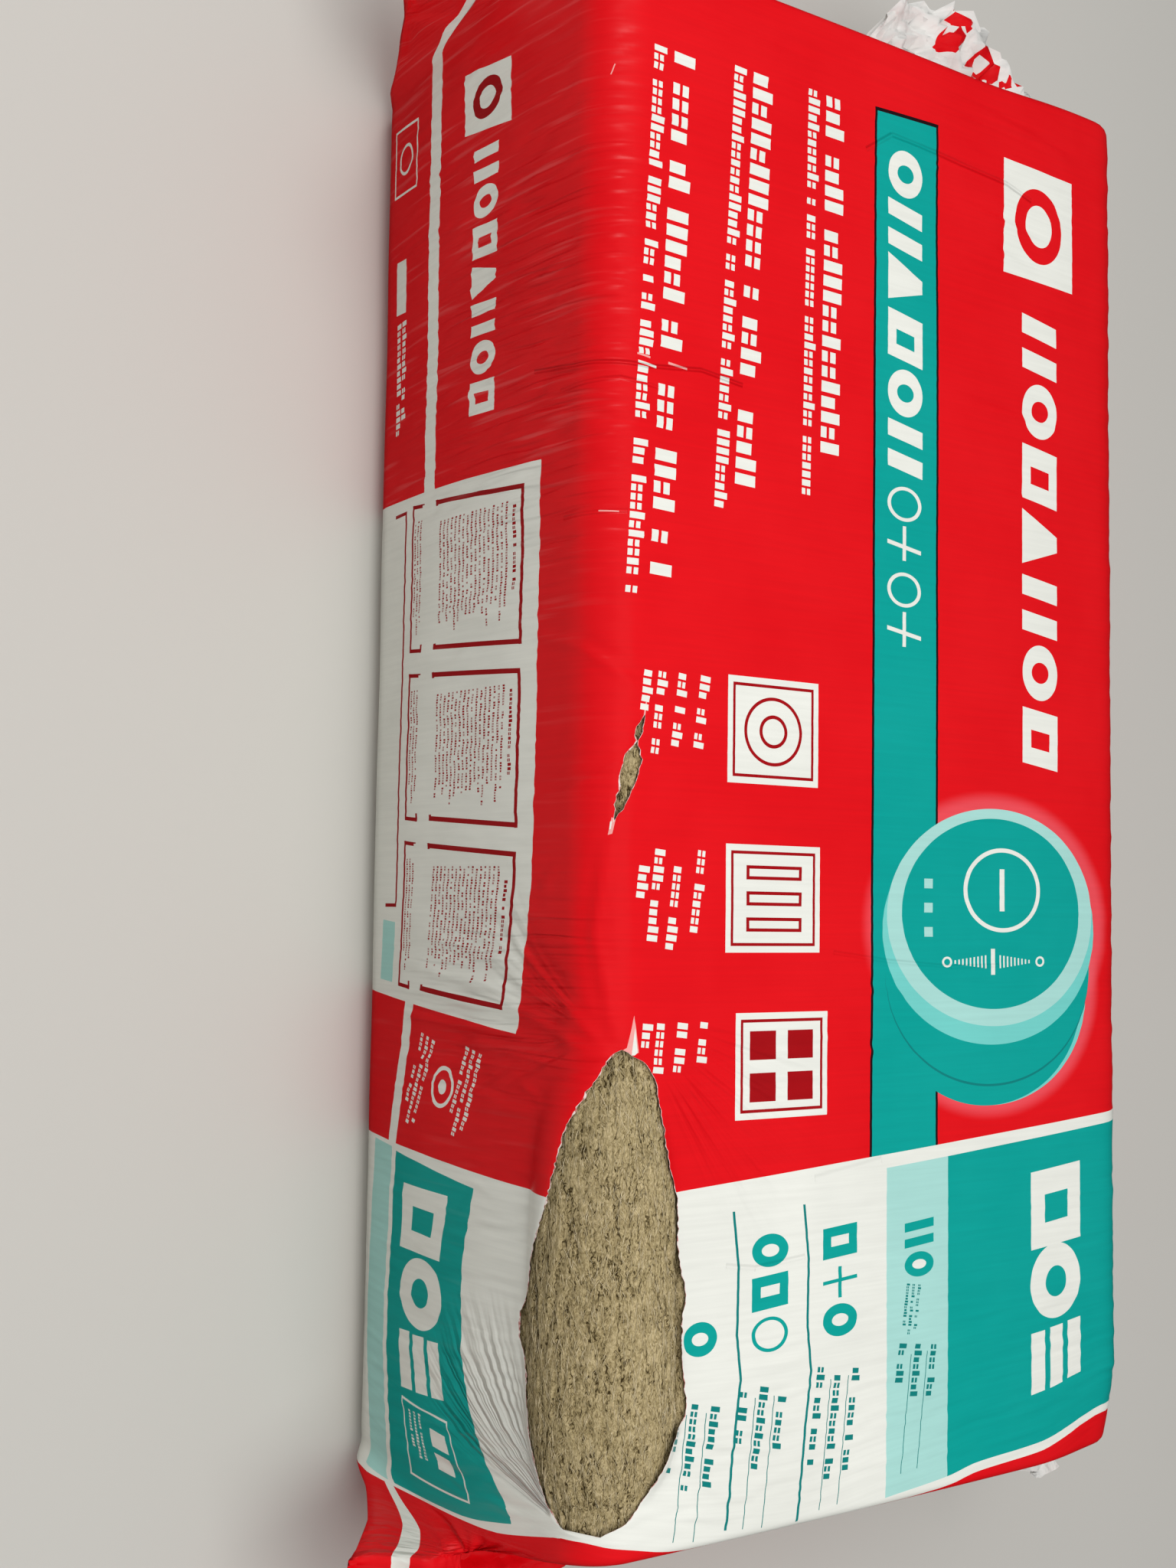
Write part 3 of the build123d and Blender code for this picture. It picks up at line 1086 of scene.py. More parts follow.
@dataclass(frozen=True)
class Grain:
    """A noise of the film: how wide and long its spots are, in print millimetres, and its lean."""

    wide: float
    long: float
    detail: float
    roughness: float
    lean: float = 0.0

    def pattern(self, tree: Tree, uv: Socket) -> Socket:
        """Nodes for the noise, from the print position in metres."""
        scale = (1 / (self.wide * MM), 1 / (self.long * MM), 1.0)
        place = add_node(tree, "Mapping", {"Vector": uv, "Rotation": (0.0, 0.0, self.lean), "Scale": scale})
        given = {"Vector": place, "Scale": 1.0, "Detail": self.detail, "Roughness": self.roughness}
        return add_node(tree, "TexNoise", given, noise_dimensions="2D")


@dataclass(frozen=True)
class PrintedFilm:
    """Polyethylene bag film, blown and printed from outside: smooth, half glossy, softly creased.

    The pull zones are stretches of the front, each a middle and half width along the pack.
    """

    roughness: float = 0.34
    specular: float = 0.32
    streaks: Grain = Grain(3.6, 110.0, 3.0, 0.55)
    creases: Grain = Grain(16.0, 90.0, 2.0, 0.5)
    clouds: Grain = Grain(1000 / 9, 1000 / 9, 3.0, 0.6)
    crinkle: Grain = Grain(1000 / 34, 1000 / 34, 2.0, 0.5)
    # Noise of the pale streaks: partly stress whitening of the film, partly painted sheen for light catching
    # its folds.
    whitening_and_sheen: Grain = Grain(1000 / 150, 1000 / 6, 2.0, 0.6, 0.09)
    pulled: Grain = Grain(1000 / 78, 1000 / 7, 1.5, 0.45, 0.09)
    pull_height: float = 1.1
    pull_width: float = 0.16
    pull_levels: tuple[float, float] = (-290.0, 22.0)
    pull_fades: tuple[float, float] = (200.0, 52.0)
    pull_zones: Line = ((-300.0, 250.0), (205.0, 110.0))
    sharp: tuple[SharpCrease, ...] = (
        SharpCrease(((-278, 120), (-283, 80), (-277, 29), (-279, -30), (-284, -78)), 1.7),
        SharpCrease(((-262, 40), (-266, 8), (-262, -46)), 1.0),
        SharpCrease(((-506, 452), (-514, 420), (-516, 376), (-519, 335), (-521, 279), (-501, 250)), 1.5, 3.0),
        SharpCrease(((174, 409), (175, 351), (170, 279), (163, 218)), 0.8),
        SharpCrease(((-165, 14), (-164, -6), (-163, -40)), 0.9),
        SharpCrease(((329, 271), (339, 200)), 0.8, 4.0),
        SharpCrease(((398, 190), (402, 140), (398, 112)), 0.9, 3.0),
    )
    fans: tuple[Fan, ...] = (
        Fan((592, -30), 214.0, 34.0, 3.4, (14, 190), 6.5),
        Fan((203, 16), 55.0, 28.0, 4.2, (60, 270), 3.6),
        Fan((222, 6), 262.0, 46.0, 7.0, (26, 230), 3.0),
    )

    def relief(self, zone: Box) -> Tree:
        """A node group with the film's fine relief, its tone, its gloss, and pale streaks that are partly
        stress whitening and partly painted sheen standing in for light on the folds of the front's left.

        Args:
            zone: The box of the print that the group is for, as a material can hold only so many nodes.
        Returns:
            The group.
        """
        tree = bpy.data.node_groups.new("film_relief", "ShaderNodeTree")
        uv = add_node(tree, "UVMap", {}, uv_map="print")
        signed, level = add_node(tree, "SeparateXYZ", {0: uv}).node.outputs[:2]
        along = add_node(tree, "Math", {0: signed}, operation="ABSOLUTE")
        streaks, clouds = self.streaks.pattern(tree, uv), self.clouds.pattern(tree, uv)
        ranges = {
            "drawn": ("SMOOTHSTEP", level, 0.09, -0.03, 0.3, 1.0),
            "loose": ("SMOOTHSTEP", along, 0.62, 0.78, 0.0, 1.0),
            # The next three ranges place the pale streaks towards the front's left. They are partly stress
            # whitening and partly painted sheen standing in for light on folds.
            "white": ("SMOOTHSTEP", self.whitening_and_sheen.pattern(tree, uv), 0.57, 0.76, 0.0, 0.06),
            "front": ("SMOOTHSTEP", level, 0.02, -0.08, 0.0, 1.0),
            "left": ("LINEAR", signed, 0.0, -0.25, 0.25, 1.0),
            "tone": ("LINEAR", streaks, 0.3, 0.7, 0.97, 1.02),
            "cloud": ("SMOOTHSTEP", clouds, 0.2, 0.8, 0.965, 1.015),
            "gloss": ("SMOOTHSTEP", clouds, 0.2, 0.8, self.roughness - 0.04, self.roughness + 0.05),
        }
        eased = {}
        for name, (kind, value, *span) in ranges.items():
            given = dict(zip(("From Min", "From Max", "To Min", "To Max"), span), Value=value)
            eased[name] = add_node(tree, "MapRange", given, interpolation_type=kind)
        ridged = self.crinkle.pattern(tree, uv)
        ridged = add_node(tree, "Math", {0: ridged, 1: 0.5}, operation="SUBTRACT")
        ridged = add_node(tree, "Math", {0: ridged}, operation="ABSOLUTE")
        products = {}
        for name, first, second in (
            ("soft", self.creases.pattern(tree, uv), eased["drawn"]),
            ("crumple", ridged, eased["loose"]),
            ("sheen_and_whitening", eased["white"], eased["front"]),
            ("tone", eased["tone"], eased["cloud"]),
        ):
            products[name] = add_node(tree, "Math", {0: first, 1: second}, operation="MULTIPLY")
        sheen_and_whitening = add_node(tree, "Math", {0: products["sheen_and_whitening"], 1: eased["left"]}, operation="MULTIPLY")
        heights = [(products["soft"], 0.6, 0.0016), (products["crumple"], 0.7, 0.008)]
        heights += [(pull, 1.0, MM) for pull in self.pulls(tree, uv, zone)]
        heights.append((streaks, 0.3, 0.00018))
        bent = {}
        for height, strength, distance in heights:
            given = {"Height": height, "Strength": strength, "Distance": distance, **bent}
            bent = {"Normal": add_node(tree, "Bump", given)}
        results = {"Tone": products["tone"], "Roughness": eased["gloss"], "Sheen_And_Whitening": sheen_and_whitening, **bent}
        for name in results:
            kind = "NodeSocketVector" if name == "Normal" else "NodeSocketFloat"
            tree.interface.new_socket(name, in_out="OUTPUT", socket_type=kind)
        out = tree.nodes.new("NodeGroupOutput")
        for name, socket in results.items():
            tree.links.new(socket, out.inputs[name])
        return tree

    def pulls(self, tree: Tree, uv: Socket, zone: Box) -> list[Socket]:
        """Nodes for the sharp creases, fans and drawn-in pulls of the tight film.

        Args:
            tree: The node group.
            uv: The print position in metres.
            zone: The box of the print that they are for.
        Returns:
            The height in millimetres, or nothing where the zone has none of them.
        """
        low, high = self.pull_levels
        areas = []
        for middle, half in self.pull_zones:
            if boxes_meet((middle - half, low, middle + half, high), zone):
                areas.append((middle, half))
        place = to_millimetres(tree, uv)
        heights = [self.drawn_pulls(tree, uv, place, areas)] if areas else []
        for crease in (*self.sharp, *self.fans):
            if boxes_meet(crease.bounds(), zone):
                heights.append(crease.lift(tree, place))
        total = heights[:1]
        for height in heights[1:]:
            total = [add_node(tree, "Math", {0: total[0], 1: height}, operation="ADD")]
        return total

    def drawn_pulls(self, tree: Tree, uv: Socket, place: Socket, areas: list[tuple[float, float]]) -> Socket:
        """Nodes for the long thin pulls down the front.

        Args:
            tree: The node group.
            uv: The print position in metres.
            place: The print position in millimetres.
            areas: The middle and half width of each stretch of the front that has them.
        Returns:
            The height in millimetres.
        """
        noise = self.pulled.pattern(tree, uv)
        off = add_node(tree, "Math", {0: noise, 1: 0.5}, operation="SUBTRACT")
        off = add_node(tree, "Math", {0: off}, operation="ABSOLUTE")
        given = {"Value": off, "From Max": self.pull_width, "To Min": self.pull_height, "To Max": 0.0}
        total = add_node(tree, "MapRange", given, interpolation_type="SMOOTHSTEP")
        along, level = add_node(tree, "SeparateXYZ", {0: place}).node.outputs[:2]
        area = None
        for middle, half in areas:
            away = add_node(tree, "Math", {0: along, 1: middle}, operation="SUBTRACT")
            away = add_node(tree, "Math", {0: away}, operation="ABSOLUTE")
            given = {"Value": away, "From Min": half, "From Max": 0.4 * half}
            mask = add_node(tree, "MapRange", given, interpolation_type="SMOOTHSTEP")
            if area is not None:
                mask = add_node(tree, "Math", {0: area, 1: mask}, operation="MAXIMUM")
            area = mask
        (low, high), (low_fade, high_fade) = self.pull_levels, self.pull_fades
        for start, end in ((low, low + low_fade), (high, high - high_fade)):
            mask = add_node(tree, "MapRange", {"Value": level, "From Min": start, "From Max": end})
            area = add_node(tree, "Math", {0: area, 1: mask}, operation="MULTIPLY")
        return add_node(tree, "Math", {0: total, 1: area}, operation="MULTIPLY")

    def torn_edge(self) -> bpy.types.Material:
        """Film stretched till it turned milky and tore: pale, thin and slightly glossy."""
        material, shader = new_material("torn_film", roughness=0.42)
        tree = material.node_tree
        place = add_node(tree, "TexCoord", {}, "Object")
        spots = add_node(tree, "TexNoise", {"Vector": place, "Scale": 260.0, "Detail": 2.0})
        colour = add_node(tree, "ValToRGB", {"Fac": spots})
        set_stops(colour.node.color_ramp, ((0.38, "#C0736C"), (0.55, "#EBD9D2")))
        tree.links.new(colour, shader.inputs["Base Color"])
        return material

    def material(self, name: str, shapes: list[Shape], relief: Tree) -> bpy.types.Material:
        """The film with part of the print.

        Args:
            name: The material's name.
            shapes: The shapes that are printed there, in drawing order, on a red ground.
            relief: The node group of the film's fine relief there.
        Returns:
            The material.
        """
        material, shader = new_material(name, self.roughness, self.specular)
        tree = material.node_tree
        place = to_millimetres(tree, add_node(tree, "UVMap", {}, uv_map="print"))
        colour = linear(Ink.RED.value)
        for shape in shapes:
            given = {"Factor": shape.mask(tree, place), "A": colour, "B": linear(shape.ink.value)}
            colour = add_node(tree, "Mix", given, "Result", data_type="RGBA")
        group = tree.nodes.new("ShaderNodeGroup")
        group.node_tree = relief
        given = {0: colour if shapes else colour[:3], "Scale": group.outputs["Tone"]}
        toned = add_node(tree, "VectorMath", given, operation="SCALE")
        # Mixes in the pale streaks: stress whitening and painted sheen.
        given = {"Factor": group.outputs["Sheen_And_Whitening"], "A": toned, "B": linear(Ink.BARE.value)}
        hazed = add_node(tree, "Mix", given, "Result", data_type="RGBA")
        tree.links.new(hazed, shader.inputs["Base Color"])
        tree.links.new(group.outputs["Roughness"], shader.inputs["Roughness"])
        tree.links.new(group.outputs["Normal"], shader.inputs["Normal"])
        return material


@dataclass
class FilmBag:
    """The printed film: a tube drawn tight over the batts and pinched flat at both ends."""

    form: PackForm = PackForm()
    tears: Tears = Tears()
    swelling: Swelling = Swelling()
    fine_start: float = 205.0
    coarse_step: float = 3.4
    fine_step: float = 2.2
    closing_columns: int = 34
    closing_lead: float = 150.0
    fin_columns: int = 20
    row_counts: tuple[int, ...] = (9, 6, 42, 14, 60, 7, 16, 6, 9)
    film_clearance: float = 1.4
    corner_push: float = 8.0
    rim_length: float = 1.5
    gape: float = 5.0
    push_softness: float = 1.2
    seam_height: float = 0.25
    rim_lift: float = 0.55
    least_rim: float = 0.3
    crease_gain: float = 1.5
    skin: bpy.types.Object = field(default=None)
    print_lines: tuple[PrintLine, ...] = (
        PrintLine(-643, ((-600, -643), (600, -643))),
        PrintLine(-330, (
            (-600, -330), (-230, -330), (80, -332), (219, -341), (334, -365), (484, -372), (606, -354),
        )),
        PrintLine(-232, (
            (-600, -232), (-230, -232), (80, -234), (219, -244), (334, -269), (484, -280), (606, -263),
        )),
        PrintLine(-104, (
            (-600, -104), (-226, -104), (80, -106), (224, -120), (349, -139), (422, -154), (468, -153),
            (514, -141), (552, -116), (590, -81), (640, -74),
        )),
        PrintLine(-68, (
            (-600, -68), (-226, -68), (80, -70), (224, -85), (349, -100), (440, -110), (514, -98),
            (590, -52), (640, -48),
        )),
        PrintLine(0, ((-600, 0), (600, 0))),
        PrintLine(1225, ((-600, 1225), (600, 1225))),
    )
    panel_edge: Line = (
        (-323, 606), (-262, 613), (-230, 613), (-179, 611), (-135, 607), (-94, 600), (-75, 596), (-57, 592),
        (-40, 588), (-23, 584.5), (-10, 584.5), (1, 586), (12, 588), (23, 590), (63, 599), (121, 607),
        (177, 612), (221, 610), (273, 604), (348, 598), (383, 592), (460, 588), (549, 569),
    )
    ears: tuple[Ear, ...] = (
        Ear(-1, -1, 74.0, 0.078, 3.8, 54.0, 2.6, 0.5),
        Ear(-1, 1, 88.0),
        Ear(1, -1, 82.0, 0.078, 8.0, 42.0, 2.4, 0.8),
        Ear(1, 1, 88.0),
    )
    left_edge: Line = (
        (-400, 668), (-370, 716), (-320, 700), (-200, 668), (0, 662), (110, 676), (133, 722), (165, 762),
        (210, 782), (286, 790), (320, 766), (352, 735), (400, 690),
    )
    right_edge: Line = (
        (-408, 690), (-380, 728), (-330, 712), (-200, 668), (0, 655), (200, 660), (330, 672), (385, 692),
        (404, 680),
    )
    creases: tuple[Crease, ...] = (
        Crease(((-605, -232), (-611, -262), (-618, -306)), 3.0, 2.6),
        Crease(((99, -43), (110, -54), (119, -59), (130, -57)), 1.3, 2.6),
        Crease(((106, -10), (107, -30), (112, -48)), 0.5, 3.0),
        Crease(((118, -14), (120, -34), (121, -52)), 0.5, 3.0),
        Crease(((-437, -30), (-428, -76), (-424, -130)), 0.9, 4.0),
        Crease(((-358, -40), (-360, -90), (-356, -150)), 0.9, 4.0),
        Crease(((-484, -130), (-487, -190), (-492, -250)), 1.0, 3.6),
        Crease(((-420, -110), (-432, -170), (-446, -250)), 0.9, 3.6),
        Crease(((264, -14), (276, -56), (262, -80)), 1.5, 3.2),
        Crease(((252, -72), (254, -160), (258, -262)), 1.0, 3.6),
        Crease(((226, -82), (224, -160), (222, -250)), 2.0, 3.4),
        Crease(((208, -86), (206, -150), (200, -230)), 1.8, 3.4),
        Crease(((192, -84), (191, -140), (184, -215)), 1.5, 3.4),
        Crease(((172, -80), (168, -140), (158, -220)), 0.8, 4.0),
        Crease(((-312, 40), (-318, -30), (-312, -88)), 1.1, 4.0),
        Crease(((-355, 10), (-362, -50), (-358, -110)), 0.9, 4.4),
        Crease(((249, 313), (243, 265), (228, 207)), 0.8, 3.2),
        Crease(((199, 313), (189, 218)), 0.7, 3.2),
        Crease(((-470, 470), (-478, 420), (-482, 360)), 1.0, 3.4),
        Crease(((-440, 455), (-452, 400)), 0.8, 3.2),
        Crease(((-560, 500), (-566, 440), (-572, 380)), 1.0, 4.0),
        Crease(((-300, 500), (-306, 430), (-312, 350)), 0.8, 3.6),
        Crease(((-230, 480), (-240, 380)), 0.7, 3.4),
        Crease(((20, 60), (24, 20), (44, -30), (52, -78)), 1.2, 3.6),
        Crease(((-30, 30), (-64, -20), (-78, -70)), 1.0, 3.8),
        Crease(((84, 2), (150, -6), (225, 10)), 1.1, 4.0),
        Crease(((236, 6), (190, -40), (150, -96)), 1.0, 4.4),
        Crease(((240, 2), (214, -60), (196, -120)), 1.0, 4.4),
        Crease(((255, -8), (244, -70), (238, -140)), 0.9, 4.6),
        Crease(((280, -22), (284, -80), (276, -150)), 0.9, 4.8),
        Crease(((-236, -12), (-248, -60), (-250, -120)), 1.1, 3.2),
        Crease(((-214, -20), (-222, -70), (-220, -110)), 1.0, 3.0),
        Crease(((-400, -10), (-404, -60), (-400, -120)), 1.0, 3.4),
        Crease(((-330, 10), (-338, -40), (-334, -90)), 1.0, 3.2),
        Crease(((528, 58), (556, 90), (572, 130)), 0.9, 3.4),
        Crease(((548, 44), (574, 74), (585, 118)), 0.9, 3.2),
        Crease(((512, 66), (530, 112), (540, 160)), 0.8, 3.6),
    )

    def columns(self) -> tuple[np.ndarray, np.ndarray, np.ndarray]:
        """The film's grid columns, from the left end's outer edge to the right one's.

        Returns:
            X of each column, its closing share, and how far out on the fin it is, from 0 to 1.
        """
        root = self.form.end_root
        left = np.linspace(-root, self.fine_start, round((self.fine_start + root) / self.coarse_step))
        right = np.linspace(self.fine_start, root, round((root - self.fine_start) / self.fine_step))
        body = np.concatenate([left, right[1:]])
        shares, walked = self.form.closing_walk()
        pace = walked + self.closing_lead * shares
        share = np.interp(np.linspace(0, pace[-1], self.closing_columns + 1)[1:], pace, shares)
        close = root + self.form.end_run * share
        out = np.linspace(0, 1, self.fin_columns + 1)[1:]
        fin = np.full(self.fin_columns, root + self.form.end_run)
        x = np.concatenate([-fin, -close[::-1], body, close, fin])
        all_shares = np.concatenate([0 * fin + 1, share[::-1], 0 * body, share, 0 * fin + 1])
        outs = np.concatenate([out[::-1], 0 * close, 0 * body, 0 * close, out])
        return x, all_shares, outs

    def build(self) -> None:
        """Makes the film's mesh: a flat grid, split at the tears and wrapped round the pack."""
        x_col, share_col, out_col = self.columns()
        row_list = [np.linspace(i, i + 1, n, endpoint=False) for i, n in enumerate(self.row_counts)]
        girth_row, girth_around = self.form.girth()
        split_row = np.interp(self.tears.row_at, girth_around, girth_row)
        rows = np.append(np.concatenate(row_list), 9.0)
        split_index = int(np.argmin(abs(rows - split_row)))
        rows[split_index] = split_row
        columns_count, rows_count = len(x_col), len(rows)
        bm = bmesh.new()
        bmesh.ops.create_grid(bm, x_segments=columns_count - 1, y_segments=rows_count - 1, size=0.5)
        column_of = [round((v.co.x + 0.5) * (columns_count - 1)) for v in bm.verts]
        row_of = [round((v.co.y + 0.5) * (rows_count - 1)) for v in bm.verts]
        bm.verts.index_update()
        torn = []
        for edge in bm.edges:
            a, b = (v.index for v in edge.verts)
            if row_of[a] == split_index and row_of[b] == split_index:
                middle = (x_col[column_of[a]] + x_col[column_of[b]]) / 2
                if self.tears.open_between(middle):
                    torn.append(edge)
        bmesh.ops.split_edges(bm, edges=torn)
        mesh = bpy.data.meshes.new("film_skin")
        split_y = split_index / (rows_count - 1) - 0.5
        above = np.ones(len(bm.verts), bool)
        for i, vert in enumerate(bm.verts):
            height = vert.co.y
            if abs(height - split_y) < 1e-5:
                height = max(f.calc_center_median().y for f in vert.link_faces)
            above[i] = height > split_y
        bm.to_mesh(mesh)
        bm.free()
        flat = read_all(mesh.vertices, "co", 3)
        column = np.rint((flat[:, 0] + 0.5) * (columns_count - 1)).astype(int)
        row = np.rint((flat[:, 1] + 0.5) * (rows_count - 1)).astype(int)
        at, around = self.wrap(x_col[column], share_col[column], out_col[column], rows[row], above)
        mesh.vertices.foreach_set("co", (at * MM).ravel())
        self.write_print_map(mesh, x_col[column], share_col[column], out_col[column], around, at)
        self.skin = add_object(mesh)
        self.close_seam(mesh)

    def wrap(
        self, x: np.ndarray, share: np.ndarray, out: np.ndarray, row: np.ndarray, above: np.ndarray
    ) -> tuple[np.ndarray, np.ndarray]:
        """Places grid points on the pack.

        Args:
            x: Column position of each point.
            share: Its closing share.
            out: How far out on the fin it is.
            row: Its place round the section.
            above: Whether it is on the upper side of the tears' row.
        Returns:
            Rows of X, Y and Z, and each point's place round the pack.
        """
        girth_row, girth_around = self.form.girth()
        around = np.interp(row, girth_row, girth_around)
        placed = np.where(share == 0, self.tears.spread(x, around, above), around)
        new_row = np.where(share == 0, np.interp(placed, girth_around, girth_row), row)
        y, z = self.form.section(new_row, share)
        step = 0.01
        y_a, z_a = self.form.section(np.clip(new_row - step, 0, 9), share)
        y_b, z_b = self.form.section(np.clip(new_row + step, 0, 9), share)
        long = np.hypot(y_b - y_a, z_b - z_a) + 1e-9
        normal_y, normal_z = -(z_b - z_a) / long, (y_b - y_a) / long
        at = np.stack([x, y, z], -1)
        lift = self.relief(x, placed, share)
        at[:, 1] += lift * normal_y
        at[:, 2] += lift * normal_z
        clearance = self.film_clearance + self.gape * self.gaping(x, placed, above) * (share == 0)
        self.swelling.push_out(at, clearance, self.push_softness)
        self.draw_ears(at, row, share)
        self.shape_fins(at, np.sign(x), share, out)
        self.form.slump(at)
        at[:, 0] -= self.corner_push * bump_up(-x, 560, 600) * bump_up(placed, 380, 560) * (share < 1)
        return at, placed

    def gaping(self, x: np.ndarray, around: np.ndarray, above: np.ndarray) -> np.ndarray:
        """How far the long tear's upper lip stands off the wool, as a share of its most."""
        upper, _ = self.tears.lips(x)
        along = bump_up(x, 250, 300) * (0.35 + 0.65 * bump_up(x, 380, 470)) * (1 - bump_up(x, 530, 570))
        return np.where(above, along * np.exp(-(((around - upper) / 18) ** 2)), 0)

    def draw_ears(self, at: np.ndarray, row: np.ndarray, share: np.ndarray) -> None:
        """Draws the film out past the pack's sides where the ends close, in place."""
        mirrored = np.where(row < 4.5, row, 9 - row)
        near = bump_up(mirrored, 2.1, 2.26) * (1 - bump_up(mirrored, 2.5, 3.3))
        for ear in self.ears:
            rise = bump_up(share, 0.25, 0.8) * (1 - (1 - ear.hold) * bump_up(share, 0.9, 1.0))
            here = (np.sign(at[:, 0]) == ear.side) & (np.where(row < 4.5, -1, 1) == ear.face)
            drawn = ear.reach * share**ear.power * ear.weight(mirrored)
            at[:, 1] += np.where(here, ear.face * drawn, 0)
            at[:, 2] += np.where(here, ear.lift * near * rise, 0)

    def relief(self, x: np.ndarray, around: np.ndarray, share: np.ndarray) -> np.ndarray:
        """Height of the film's wrinkles over the smooth pack, in millimetres."""
        body = 1 - bump_up(np.abs(x), 575, 600)
        broad = ripples(x / 190, around / 150, 7, 11)
        shown = bump_up(around, -345, -300) * (1 - bump_up(around, 560, 620))
        ridge = bump_up(around, -320, -130) * (1 - bump_up(around, 5, 60))
        left = 0.3 + 0.7 * np.exp(-(((x + 300) / 170) ** 2)) + 0.4 * np.exp(-(((x - 280) / 90) ** 2))
        lean = x + 0.12 * around
        waver = 3.0 * ripples(x / 60, around / 70, 6, 14)
        fine = ripples((lean + waver) / 12, around / 190, 9, 12)
        sharp = 1 - 2 * np.abs(ripples((lean + waver) / 22, around / 240, 9, 17))
        ridge_folds = ridge * left * (0.6 * fine + 0.8 * sharp)
        ends = np.exp(-(((np.abs(x) - 560) / 120) ** 2))
        top_folds = 0.42 * shown * (0.35 + 0.65 * ends) * fine
        panel = np.exp(-((x / 240) ** 2)) * np.exp(-(((around + 160) / 90) ** 2))
        panel_folds = 0.8 * panel * ripples((x - 0.2 * around) / 34, around / 300, 7, 15)
        panel = 1.1 * np.exp(-(((x - 450) / 110) ** 2)) * np.exp(-(((around + 190) / 110) ** 2))
        panel_folds += panel * ripples((x + 0.25 * around) / 52, around / 260, 7, 18)
        back = bump_up(around, 500, 560) * (1 - bump_up(around, 600, 680))
        back_folds = 0.35 * back * ripples(x / 24, around / 90, 8, 16)
        creases = self.crease_gain * sum(crease.lift(x, around) for crease in self.creases)
        low = bump_up(share, 0.42, 0.7) * (1 - bump_up(share, 0.95, 1.0))
        pleats = 3.2 * low * ripples(around / 40, np.sign(x) + share, 7, 13)
        folds = (ridge_folds + top_folds + panel_folds + back_folds) * body + creases
        return 0.55 + 0.45 * (1 + 0.8 * broad) * body + np.maximum(folds, -0.6) + pleats

    def shape_fins(self, at: np.ndarray, side: np.ndarray, share: np.ndarray, out: np.ndarray) -> None:
        """Draws the welded fins out to their edge and lets them crumple, in place."""
        left, right = (smooth_line(at[:, 1], line) for line in (self.left_edge, self.right_edge))
        edge = np.where(side < 0, left, right)
        root = self.form.end_root + self.form.end_run
        ragged = 3.0 * ripples(at[:, 1] / 26, side, 6, 23)
        length = (edge - root + ragged) * out
        at[:, 0] = np.where(out > 0, side * (root + length), at[:, 0])
        spot_x, spot_y = at[:, 0] / 62, at[:, 1] / 54
        wave = ripples(at[:, 1] / 120, side, 5, 21)
        crumple = 1 - 2 * np.abs(ripples(spot_x, spot_y, 6, 24))
        small = 1 - 2 * np.abs(ripples(1.9 * spot_x, 1.9 * spot_y, 6, 25))
        free = np.minimum(length, 45)
        rise = 0.08 * length * wave + free * (0.26 * crumple + 0.12 * small)
        at[:, 2] += np.where(out > 0, rise, 0)

    def write_print_map(
        self,
        mesh: bpy.types.Mesh,
        x: np.ndarray,
        share: np.ndarray,
        out: np.ndarray,
        around: np.ndarray,
        at: np.ndarray,
    ) -> None:
        """Writes the print's own coordinates, in metres, to the UV map named print."""
        side = np.sign(x)
        shares, walked = self.form.closing_walk()
        fin_root = self.form.end_root + self.form.end_run
        on_fin = np.where(out > 0, np.abs(at[:, 0]) - fin_root, 0)
        beyond = self.form.end_root + np.interp(share, shares, walked) + on_fin
        along = np.where(share > 0, side * beyond, x)
        shift = smooth_line(around, self.panel_edge) - 600
        along = along - shift * bump_up(along, 420, 600)
        print_at = np.stack([along, self.print_level(at[:, 0], around)], -1)
        loops = read_all(mesh.loops, "vertex_index")
        layer = mesh.uv_layers.new(name="print")
        layer.data.foreach_set("uv", (print_at[loops] * MM).ravel())

    def print_level(self, x: np.ndarray, around: np.ndarray) -> np.ndarray:
        """The print's own place round the bag at each place on the pack."""
        lines = [(line.level, smooth_line(x, line.line)) for line in self.print_lines]
        level = np.full_like(around, lines[-1][0])
        for (low, low_at), (high, high_at) in zip(lines[:-1], lines[1:]):
            inside = (around >= low_at) & (around <= high_at)
            t = (around - low_at) / (high_at - low_at)
            level = np.where(inside, low + t * (high - low), level)
        return np.where(around < lines[0][1], lines[0][0], level)

    def close_seam(self, mesh: bpy.types.Mesh) -> None:
        """Joins the tube's two long edges, under the pack, and frays the tears' edges."""
        bm = bmesh.new()
        bm.from_mesh(mesh)
        edges = (v for v in bm.verts if v.is_boundary and v.co.z < self.seam_height)
        under = [v for v in edges if abs(v.co.y) < 0.5 * MM]
        bmesh.ops.remove_doubles(bm, verts=under, dist=0.0004)
        bmesh.ops.recalc_face_normals(bm, faces=bm.faces)
        self.fray(bm)
        for face in bm.faces:
            face.smooth = True
        bm.to_mesh(mesh)
        bm.free()

